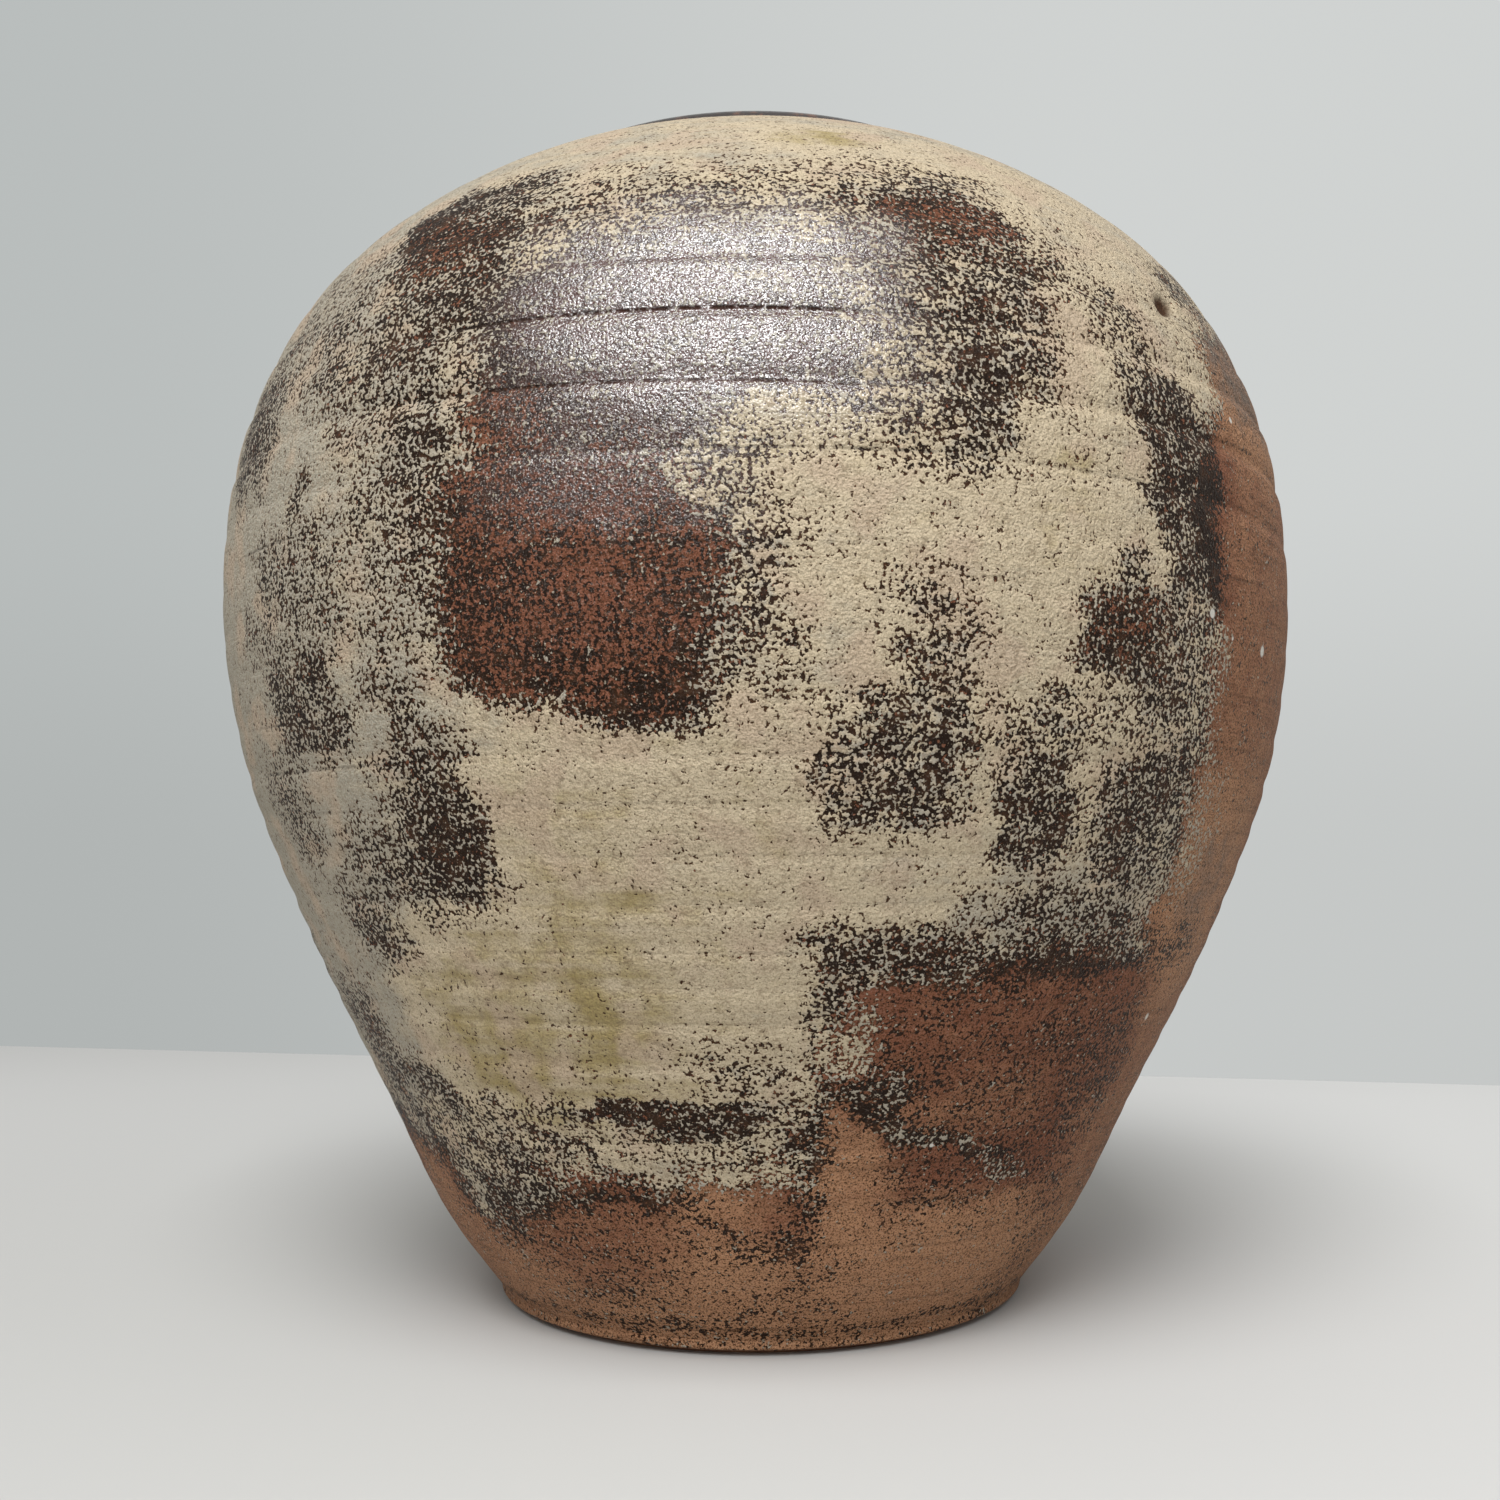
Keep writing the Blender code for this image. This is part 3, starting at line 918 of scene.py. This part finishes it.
@dataclass(frozen=True)
class Mottled:
    """A plain surface that a few noises mottle.

    A grain is a noise's size in millimetres, detail, roughness and shift. A stain is the number
    of a grain, where its rise starts and ends, its greatest share and its colour. The shine has
    the number of a grain and the lowest and highest roughness, and the relief has the number of
    a grain, its depth in millimetres and its strength.
    """

    name: str
    ground: Colour
    grains: tuple[tuple[float, float, float, float], ...]
    stains: tuple[tuple[int, float, float, float, Colour], ...]
    shine: tuple[int, float, float]
    relief: tuple[int, float, float]
    index: float = 1.5

    def material(self) -> bpy.types.Material:
        """Writes the finish.

        Returns:
            The finished material.
        """
        sheet = Sheet(bpy.data.materials.new(self.name))
        grains = [sheet.grain(size * MM, *more) for size, *more in self.grains]
        colour = self.ground
        for grain, low, high, share, stain in self.stains:
            colour = sheet.blend(sheet.spread(grains[grain], low, high, 0.0, share), colour, stain)
        grain, low, high = self.shine
        shine = sheet.spread(grains[grain], 0.3, 0.7, low, high)
        grain, depth, strength = self.relief
        relief = sheet.bumped(grains[grain], depth * MM, strength)
        return sheet.close(colour, shine, relief, IOR=self.index)


# bare fired clay, with iron flecks, a fine tooth and the paler worn tops of its grains
BARE_CLAY = Mottled(
    "bare_clay",
    (0.210, 0.095, 0.055),
    grains=((7.0, 3.0, 0.6, 0.2), (0.5, 3.0, 0.6, 0.5), (1.1, 2.0, 0.6, 0.9)),
    stains=(
        (0, 0.35, 0.65, 1.0, (0.330, 0.170, 0.095)),
        (1, 0.40, 0.70, 0.35, (0.210, 0.095, 0.055)),
        (2, 0.66, 0.70, 1.0, (0.045, 0.022, 0.015)),
    ),
    shine=(1, 0.54, 0.70),
    relief=(1, 0.12, 0.6),
)
# the thin brown glaze inside the jar, darker where it ran together
INNER_GLAZE = Mottled(
    "inner_glaze",
    (0.040, 0.020, 0.014),
    grains=((14.0, 3.0, 0.6, 0.3), (0.8, 2.0, 0.6, 0.6)),
    stains=(
        (0, 0.35, 0.65, 1.0, (0.120, 0.055, 0.032)),
        (1, 0.50, 0.75, 0.5, (0.040, 0.020, 0.014)),
    ),
    shine=(0, 0.32, 0.52),
    relief=(1, 0.1, 0.4),
)
# the glossy dark brown glaze on the rim, broken to rust where it is thin
RIM_GLAZE = Mottled(
    "rim_glaze",
    (0.022, 0.012, 0.010),
    grains=((3.5, 3.0, 0.65, 0.4), (0.7, 2.0, 0.6, 0.8)),
    stains=((0, 0.52, 0.68, 1.0, (0.110, 0.045, 0.025)),),
    shine=(1, 0.08, 0.20),
    relief=(0, 0.3, 0.8),
    index=1.8,
)


@dataclass
class Jar:
    """What every section shares: the outline, the marks and the finishes in Side's order."""

    outline: Outline
    throwing: Throwing
    finishes: tuple[bpy.types.Material, ...]
    columns: int = 576
    wedges: int = 24
    row: float = 0.75 * MM
    inner_row: float = 4.0 * MM
    joint_rise: float = 5.0 * MM

    def run(self, side: Side, start: float, end: float) -> list[Station]:
        """Follows the wall between two lengths: up the outside, or down the inside.

        Args:
            side: The outside or the inside.
            start: The lower length.
            end: The upper length.

        Returns:
            The stations, in even steps.
        """
        outside = side is Side.OUTSIDE
        count = max(2, round((end - start) / (self.row if outside else self.inner_row)))
        lengths = np.linspace(start, end, count + 1)
        lengths = lengths if outside else lengths[::-1]
        points = self.outline.outer(lengths) if outside else self.outline.inner(lengths)
        return [(*point, side, length) for point, length in zip(points, lengths)]

    def place(self, side: Side, length: np.ndarray, azimuth: np.ndarray) -> np.ndarray:
        """Finds points on the wall, with its marks.

        Args:
            side: The outside or the inside.
            length: Lengths along the outside.
            azimuth: Azimuths in degrees.

        Returns:
            The points in the jar's own frame.
        """
        if side is Side.OUTSIDE:
            base, depth = self.outline.outer(length), self.throwing.depth(length, azimuth)
        else:
            base, depth = self.outline.inner(length), self.throwing.inner_depth(length, azimuth)
        across, height = (base + self.outline.outward(length) * depth[:, None]).T
        turn = np.radians(azimuth)
        lean = self.throwing.lean(height)
        return np.stack([np.sin(turn) * across + lean, -np.cos(turn) * across, height], axis=1)

    def normals(self, side: Side, length: np.ndarray, azimuth: np.ndarray) -> np.ndarray:
        """Works out the wall's own normals, so that two sections meet without a seam.

        Args:
            side: The outside or the inside.
            length: Lengths along the outside.
            azimuth: Azimuths in degrees.

        Returns:
            Unit normals that point out of the clay.
        """
        step, turn = 0.35 * MM, 0.15
        up = self.place(side, length + step, azimuth) - self.place(side, length - step, azimuth)
        right, left = azimuth + turn, azimuth - turn
        across = self.place(side, length, right) - self.place(side, length, left)
        normals = np.cross(across, up)
        normals /= np.linalg.norm(normals, axis=1)[:, None]
        return normals if side is Side.OUTSIDE else -normals


@dataclass(frozen=True)
class AshFall:
    """How the layers are pulled about where the ash fell, and then painted on a mesh.

    Noises of these many cells a metre, with these shares, pull the layers by up to the reach,
    and each turn of the spiral shifts them a step. Reach, step and radius are in millimetres.
    """

    layers: tuple[Layer, ...] = (ASH, GLASS, TONE, IRON, MELT)
    noises: tuple[Pair, ...] = ((75.0, 1.0), (190.0, 0.8))
    reach: float = 3.8
    step: float = 1.6
    step_turn: float = 2.4
    least_radius: float = 20.0
    line_drift: float = 0.35
    line_end: float = 13.0
    far: float = 99.0

    def paint(
        self,
        throwing: Throwing,
        mesh: bpy.types.Mesh,
        spots: np.ndarray,
        azimuth: np.ndarray,
        length: np.ndarray,
    ) -> None:
        """Paints the ash, the melted glass, the tints, the rib lines and the pit.

        Args:
            throwing: The marks in the wall.
            mesh: The mesh to paint.
            spots: Its points.
            azimuth: Their azimuths in degrees.
            length: Their lengths along the outside.
        """
        radius = np.hypot(spots[:, 0], spots[:, 1]) / MM
        pull = sum(
            share * np.array([noise.noise_vector(Vector(spot) * cells) for spot in spots])
            for cells, share in self.noises
        )
        _, _, turns = throwing.read(length, azimuth)
        step = np.sin(np.floor(turns) * self.step_turn) * self.step
        moved_length = length / MM + pull[:, 0] * self.reach
        shift = pull[:, 1] * self.reach + step
        moved_azimuth = azimuth + np.degrees(shift / np.maximum(radius, self.least_radius))
        painted = {
            layer.name: layer.paint(moved_azimuth, moved_length, radius) for layer in self.layers
        }
        painted.update(self.lines(throwing, azimuth, length))
        painted["pit"] = smooth_step(throwing.pit(length, azimuth), 0.25, 0.8)
        for name, values in painted.items():
            layer = mesh.attributes.new(name, "FLOAT", "POINT")
            layer.data.foreach_set("value", values.astype(np.float32))

    def lines(
        self, throwing: Throwing, azimuth: np.ndarray, length: np.ndarray
    ) -> dict[str, np.ndarray]:
        """Finds the nearest rib line of each point.

        Args:
            throwing: The marks in the wall.
            azimuth: Azimuths in degrees.
            length: Lengths along the outside.

        Returns:
            The distance above that line in millimetres, and its strength there.
        """
        wander = throwing.wander(length, azimuth)
        nearest = np.full(len(length), self.far)
        strength = np.zeros(len(length))
        for row in RIB_LINES:
            line = RibLine(*row)
            turn = turn_between(azimuth, line.azimuth)
            away = length / MM - line.length - line.rise * turn - self.line_drift * wander
            shown = smooth_step(line.half_width - np.abs(turn), 0.0, self.line_end) * line.strength
            nearer = (np.abs(away) < np.abs(nearest)) & (shown > 0.0)
            nearest[nearer] = away[nearer]
            strength[nearer] = (shown * (1.0 + 0.5 * wander))[nearer]
        return {"line_away": nearest, "line": strength}


@dataclass
class TurnedPiece:
    """A section of the jar, turned from its own closed cross-section."""

    jar: Jar
    name: str
    seamless: bool = True
    weld: float = 1e-6
    sharp: float = math.radians(35)

    def section(self) -> list[Station]:
        """Returns the cross-section."""
        raise NotImplementedError

    def build(self) -> bpy.types.Object:
        """Turns the cross-section, sets its points in place and dresses the piece.

        Returns:
            The finished piece, riding on the jar's body.
        """
        mesh = self.turn()
        self.dress(mesh)
        piece = bpy.data.objects.new(f"{self.name}_fired", mesh)
        bpy.context.scene.collection.objects.link(piece)
        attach(piece, "root")
        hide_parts(self.name)
        LOG.info("%s: %d faces", piece.name, len(mesh.polygons))
        return piece

    def turn(self) -> bpy.types.Mesh:
        """Spins the cross-section round the Z axis, one wedge first and then its copies.

        Returns:
            The mesh, with each point's side and length stored on it.
        """
        shape = bmesh.new()
        sides = shape.verts.layers.float.new("side")
        lengths = shape.verts.layers.float.new("wall_length")
        verts = []
        for radius, height, side, length in self.section():
            vert = shape.verts.new((0.0, -radius, height))
            vert[sides] = float(side)
            vert[lengths] = length
            verts.append(vert)
        edges = [
            shape.edges.new((first, second))
            for first, second in zip(verts, verts[1:] + verts[:1])
            if max(abs(first.co.y), abs(second.co.y)) > 1e-9
        ]
        wedge = 2.0 * math.pi / self.jar.wedges
        around = {"axis": (0.0, 0.0, 1.0), "cent": (0.0, 0.0, 0.0), "dvec": (0.0, 0.0, 0.0)}
        steps = self.jar.columns // self.jar.wedges
        bmesh.ops.spin(shape, geom=verts + edges, angle=wedge, steps=steps, **around)
        bmesh.ops.remove_doubles(shape, verts=shape.verts[:], dist=self.weld)
        whole = shape.verts[:] + shape.edges[:] + shape.faces[:]
        rest = self.jar.wedges - 1
        around["use_duplicate"] = True
        bmesh.ops.spin(shape, geom=whole, angle=wedge * rest, steps=rest, **around)
        bmesh.ops.remove_doubles(shape, verts=shape.verts[:], dist=self.weld)
        bmesh.ops.recalc_face_normals(shape, faces=shape.faces[:])
        mesh = bpy.data.meshes.new(self.name)
        shape.to_mesh(mesh)
        shape.free()
        return mesh

    def dress(self, mesh: bpy.types.Mesh) -> None:
        """Moves the points to the marked wall, paints the ash and gives the finishes.

        Args:
            mesh: The turned mesh.
        """
        jar = self.jar
        spots = read(mesh.vertices, "co", 3)
        side = np.round(read(mesh.attributes["side"].data, "value"))
        length = read(mesh.attributes["wall_length"].data, "value")
        azimuth = np.degrees(np.arctan2(spots[:, 0], -spots[:, 1]))
        known = np.zeros_like(spots)
        for face in (Side.OUTSIDE, Side.INSIDE):
            chosen = (side == face) & (length > 0.0)
            if chosen.any():
                spots[chosen] = jar.place(face, length[chosen], azimuth[chosen])
                known[chosen] = jar.normals(face, length[chosen], azimuth[chosen])
        loose = (side >= Side.RIM) | (length <= 0.0)
        spots[loose, 0] += jar.throwing.lean(spots[loose, 2])
        mesh.vertices.foreach_set("co", spots.ravel())
        mesh.update()
        mesh.shade_smooth()
        AshFall().paint(jar.throwing, mesh, spots, azimuth, length)
        for finish in jar.finishes:
            mesh.materials.append(finish)
        corners = read(mesh.loops, "vertex_index", kind=np.int32)
        starts = read(mesh.polygons, "loop_start", kind=np.int32)
        highest = np.maximum.reduceat(side[corners], starts)
        mesh.polygons.foreach_set("material_index", highest.astype(np.int32))
        if self.seamless:
            own = read(mesh.vertices, "normal", 3)
            found = np.linalg.norm(known, axis=1) > 0.5
            own[found] = known[found]
            mesh.normals_split_custom_set_from_vertices(own.tolist())
        else:
            mesh.set_sharp_from_angle(angle=self.sharp)


@dataclass
class WallSection(TurnedPiece):
    """A thrown section of the wall, between two joints."""

    start: float = 0.0
    end: float = 0.0

    def section(self) -> list[Station]:
        """Follows the outside upwards, then the inside downwards.

        Returns:
            The stations, once round.
        """
        jar, rise = self.jar, self.jar.joint_rise
        inside = jar.run(Side.INSIDE, self.start + rise, self.end + rise)
        return jar.run(Side.OUTSIDE, self.start, self.end) + inside


def bend(start: np.ndarray, corner: np.ndarray, end: np.ndarray, steps: int) -> list[Pair]:
    """Draws the points after start of a curve that heads for corner and ends at end."""
    shares = np.arange(1, steps + 1) / steps
    return [tuple(start * (1 - t) ** 2 + corner * 2 * t * (1 - t) + end * t**2) for t in shares]


@dataclass
class MouthRing(TurnedPiece):
    """The top of the shoulder, the short neck and the rounded rim."""

    start: float = 0.0
    rim_radius: float = 66.0 * MM
    rim_thickness: float = 8.0 * MM
    rim_start: float = math.radians(22.5)
    rim_steps: int = 20
    neck_steps: int = 7
    throat_steps: int = 8

    def section(self) -> list[Station]:
        """Follows the shoulder, the neck, the rim and the inside.

        Returns:
            The stations, once round.
        """
        jar, outline = self.jar, self.jar.outline
        half = self.rim_thickness / 2
        centre = np.array([self.rim_radius - half, outline.height - half])
        neck, under, climb = outline.wall_at(outline.total)
        outer_corner = neck + climb * ((neck[0] - self.rim_radius) / -climb[0])
        inner_corner = under + climb * ((under[0] - centre[0] + half) / -climb[0])
        angles = np.linspace(self.rim_start, math.pi, self.rim_steps + 1)
        rim = centre + np.stack([np.cos(angles), np.sin(angles)], axis=1) * half
        bends = bend(neck, outer_corner, rim[0], self.neck_steps)
        bends += [tuple(point) for point in rim[1:]]
        bends += bend(rim[-1], inner_corner, under, self.throat_steps)[:-1]
        stations = jar.run(Side.OUTSIDE, self.start, outline.total)
        stations += [(*point, Side.RIM, outline.total) for point in bends]
        return stations + jar.run(Side.INSIDE, self.start + jar.joint_rise, outline.total)


@dataclass
class BaseDish(TurnedPiece):
    """The disc that closes the jar, with its turned edge and a low upstand for the wall."""

    joint: float = 0.0
    step: float = 66.8 * MM
    recess: float = 5.0 * MM
    floor: float = 12.5 * MM
    edge_radius: float = 70.2 * MM
    edge_lift: float = 1.6 * MM
    rounding: float = 0.8 * MM
    below_edge: float = -1.4 * MM
    bend_steps: int = 6

    def section(self) -> list[Station]:
        """Follows the underside, the turned edge, the outside and the floor.

        Returns:
            The stations, once round.
        """
        low = np.array([self.edge_radius - self.rounding, self.edge_lift])
        corner = np.array([self.edge_radius, self.edge_lift])
        high = np.array([self.edge_radius, self.edge_lift + self.rounding])
        under = [(0.0, self.recess), (self.step * 0.5, self.recess), (self.step, self.recess)]
        under += [(self.step, self.edge_lift), tuple(low)]
        edge = bend(low, corner, high, self.bend_steps)
        top = self.joint + self.jar.joint_rise
        _, wall_foot, climb = self.jar.outline.wall_at(top)
        drop = (wall_foot[1] - self.floor) / climb[1]
        turn = wall_foot - climb * drop
        floor_end = turn - np.array([abs(drop), 0.0])
        floor = bend(wall_foot, turn, floor_end, self.bend_steps)
        floor += [(floor_end[0] * share, self.floor) for share in (0.75, 0.5, 0.25, 0.0)]
        stations = [(*point, Side.UNDER, 0.0) for point in under]
        stations += [(*point, Side.OUTSIDE, self.below_edge) for point in edge]
        stations += self.jar.run(Side.OUTSIDE, 0.0, self.joint)
        stations.append((*wall_foot, Side.INSIDE, top))
        return stations + [(*point, Side.INSIDE, 0.0) for point in floor]


@dataclass
class FootRing(TurnedPiece):
    """The low ring that the jar stands on."""

    inside: float = 57.0 * MM
    chamfer: float = 0.5 * MM

    def section(self) -> list[Station]:
        """Follows the ring's cross-section.

        Returns:
            The stations, once round.
        """
        low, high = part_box(self.name)
        outside, top, cut = high.x, high.z, self.chamfer
        points = (
            (self.inside + cut, low.z),
            (outside - cut, low.z),
            (outside, cut),
            (outside, top),
            (self.inside, top),
            (self.inside, cut),
        )
        return [(*point, Side.UNDER, 0.0) for point in points]


@dataclass(frozen=True)
class Lamp:
    """A broad lamp in front of the jar.

    Its azimuth and elevation from what it aims at are in degrees.
    """

    name: str
    watts: float
    azimuth: float
    elevation: float
    distance: float
    size: Pair
    aim: Spot = (0.0, -0.10, 0.20)

    def hang(self) -> None:
        """Hangs the lamp."""
        light = bpy.data.lights.new(self.name, "AREA")
        light.shape = "RECTANGLE"
        light.size, light.size_y = self.size
        light.energy = self.watts
        lamp = bpy.data.objects.new(self.name, light)
        turn, climb = math.radians(self.azimuth), math.radians(self.elevation)
        level = math.cos(climb)
        away = Vector((math.sin(turn) * level, -math.cos(turn) * level, math.sin(climb)))
        lamp.location = Vector(self.aim) + away * self.distance
        lamp.rotation_euler = away.to_track_quat("Z", "Y").to_euler()
        bpy.context.scene.collection.objects.link(lamp)


@dataclass
class Stage:
    """The pale table, the wall behind it, the light and the camera."""

    table: Colour = (0.600, 0.604, 0.592)
    # the table's colour at the right and the back, where painted light brightens it
    table_lit_right: Colour = (0.810, 0.816, 0.806)
    unseen_table: Colour = (0.600, 0.600, 0.585)
    table_size: float = 4.0
    # where painted light makes the table lighter to the right and to the back, and where it fades
    # out far away
    table_across: Pair = (-0.30, 0.30)
    table_back: Pair = (-0.05, 0.45)
    table_end: Pair = (0.9, 1.5)
    wall: Colour = (0.485, 0.510, 0.505)
    # painted light: the wall's colour at the right, where it is lit more brightly
    wall_lit_right: Colour = (0.630, 0.648, 0.640)
    # painted shade: the colour the wall darkens toward near its foot, by this share at the horizon
    shaded_wall: Colour = (0.20, 0.205, 0.20)
    wall_shade_share: float = 0.16
    wall_rise: float = 0.24
    wall_span: Pair = (-0.447, 0.243)
    wall_line: float = 0.4495
    wall_turn: float = -0.280
    daylight: Colour = (1.0, 0.99, 0.97)
    ambient: float = 0.37
    lamps: tuple[Lamp, ...] = (
        Lamp("window", 21.0, -8.0, 58.0, 1.6, (0.90, 0.75)),
        Lamp("room", 12.5, -6.0, 36.0, 2.0, (1.2, 0.6)),
    )
    eye: Spot = (0.0, -0.4355, 0.1130)
    pitch: float = 4.243
    yaw: float = 0.194
    roll: float = -0.587
    lens: float = 37.2

    def build(self) -> None:
        """Sets the table, the light and the camera."""
        self.floor()
        self.world()
        for lamp in self.lamps:
            lamp.hang()
        self.camera()
        bpy.context.scene.view_settings.view_transform = "Standard"

    def backdrop(self, sheet: Sheet, heading: Socket) -> Socket:
        """Writes the wall's colour by the heading of the eye, with painted light lighter to the
        right.
        """
        across = sheet.add("SeparateXYZ", heading).outputs[0]
        return sheet.blend(sheet.spread(across, *self.wall_span), self.wall, self.wall_lit_right)

    def floor(self) -> None:
        """Lays the table with painted light on it, whose far part carries the colour of the wall.
        """
        shape = bmesh.new()
        bmesh.ops.create_grid(shape, x_segments=8, y_segments=8, size=self.table_size)
        mesh = bpy.data.meshes.new("table")
        shape.to_mesh(mesh)
        shape.free()
        sheet = Sheet(bpy.data.materials.new("table_top"))
        across, back, _ = sheet.add("SeparateXYZ", sheet.place).outputs
        past = sheet.math("SUBTRACT", back, sheet.times(across, self.wall_turn))
        past = sheet.spread(past, self.wall_line - MM, self.wall_line + MM)
        away = sheet.add("VectorMath", sheet.place, operation="LENGTH").outputs["Value"]
        past = sheet.math("MAXIMUM", past, sheet.spread(away, *self.table_end))
        # painted light: the table grows lighter to the right and to the back
        side = sheet.total(
            sheet.spread(across, *self.table_across, 0.0, 0.60),
            sheet.spread(back, *self.table_back, 0.0, 0.50),
        )
        foot = (0.0, self.eye[1], 0.0)
        heading = sheet.add("VectorMath", sheet.place, foot, operation="SUBTRACT").outputs[0]
        heading = sheet.add("VectorMath", heading, operation="NORMALIZE").outputs[0]
        # painted shade: the far part of the table, the foot of the wall, is darkened
        wall = sheet.blend(self.wall_shade_share, self.backdrop(sheet, heading), self.shaded_wall)
        seen = sheet.seen()
        top = sheet.blend(side, self.table, self.table_lit_right)
        top = sheet.blend(seen, self.unseen_table, top)
        plain = sheet.add("BsdfDiffuse", sheet.blend(past, top, self.unseen_table)).outputs[0]
        glow = sheet.add("Emission", wall).outputs[0]
        mix = sheet.add("MixShader", sheet.times(past, seen), plain, glow)
        sheet.add("OutputMaterial", mix.outputs[0])
        mesh.materials.append(sheet.owner)
        table = bpy.data.objects.new("table", mesh)
        bpy.context.scene.collection.objects.link(table)

    def world(self) -> None:
        """Sets the soft light from all round, seen as the wall's colour with painted light and
        shade.
        """
        sheet = Sheet(bpy.data.worlds.new("room"))
        heading = sheet.add("TexCoord").outputs["Generated"]
        rise = sheet.add("SeparateXYZ", heading).outputs[2]
        # painted shade: the wall darkens toward its foot, fading out higher up
        dim = sheet.spread(rise, 0.0, self.wall_rise, self.wall_shade_share, 0.0)
        wall = sheet.blend(dim, self.backdrop(sheet, heading), self.shaded_wall)
        soft = sheet.add("Background", self.daylight, self.ambient).outputs[0]
        shown = sheet.add("Background", wall).outputs[0]
        sheet.add("OutputWorld", sheet.add("MixShader", sheet.seen(), soft, shown).outputs[0])
        bpy.context.scene.world = sheet.owner

    def camera(self) -> None:
        """Stands the camera where the photograph was taken."""
        lens = bpy.data.cameras.new("camera")
        lens.lens = self.lens
        lens.sensor_width = 36.0
        camera = bpy.data.objects.new("camera", lens)
        turned = (
            Matrix.Rotation(math.radians(self.yaw), 4, "Z")
            @ Matrix.Rotation(math.radians(90.0 + self.pitch), 4, "X")
            @ Matrix.Rotation(math.radians(self.roll), 4, "Z")
        )
        camera.matrix_world = Matrix.Translation(Vector(self.eye)) @ turned
        bpy.context.scene.collection.objects.link(camera)
        bpy.context.scene.camera = camera


def sand_spots(outline: Outline) -> tuple[tuple[Spot, float], ...]:
    """Places the few white sand grains that show in the wall.

    Args:
        outline: The outside of the jar.

    Returns:
        The places and radii of the grains in metres.
    """
    grains = []
    for azimuth, length, radius in SAND:
        across, height = outline.outer(np.array([length * MM]))[0]
        turn = math.radians(azimuth)
        spot = (float(across * math.sin(turn)), float(-across * math.cos(turn)), float(height))
        grains.append((spot, radius * MM))
    return tuple(grains)


def main() -> None:
    """Loads the frame, builds the jar's sections in order and sets the scene."""
    logging.basicConfig(level=logging.INFO, format="%(name)s %(message)s")
    for old in list(bpy.data.objects):
        bpy.data.objects.remove(old)
    noise.seed_set(NOISE_SEED)
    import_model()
    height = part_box("mouth_ring")[1].z
    outline = Outline(height=height, belly_radius=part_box("belly_wall")[1].x)
    finishes = (
        AshOverClay("ash_over_clay", sand=sand_spots(outline)),
        INNER_GLAZE,
        RIM_GLAZE,
        BARE_CLAY,
    )
    jar = Jar(outline, Throwing(), tuple(finish.material() for finish in finishes))
    base_joint = outline.length_at(BASE_JOINT)
    mouth_joint = outline.length_at(height - MOUTH_JOINT_DROP)
    FootRing(jar, "foot_ring", seamless=False).build()
    BaseDish(jar, "base_dish", seamless=False, joint=base_joint).build()
    low = base_joint
    for name, share in WALL_JOINTS:
        high = base_joint + (mouth_joint - base_joint) * share
        WallSection(jar, name, start=low, end=high).build()
        low = high
    MouthRing(jar, "mouth_ring", start=mouth_joint).build()
    Stage().build()


if __name__ == "__main__":
    main()
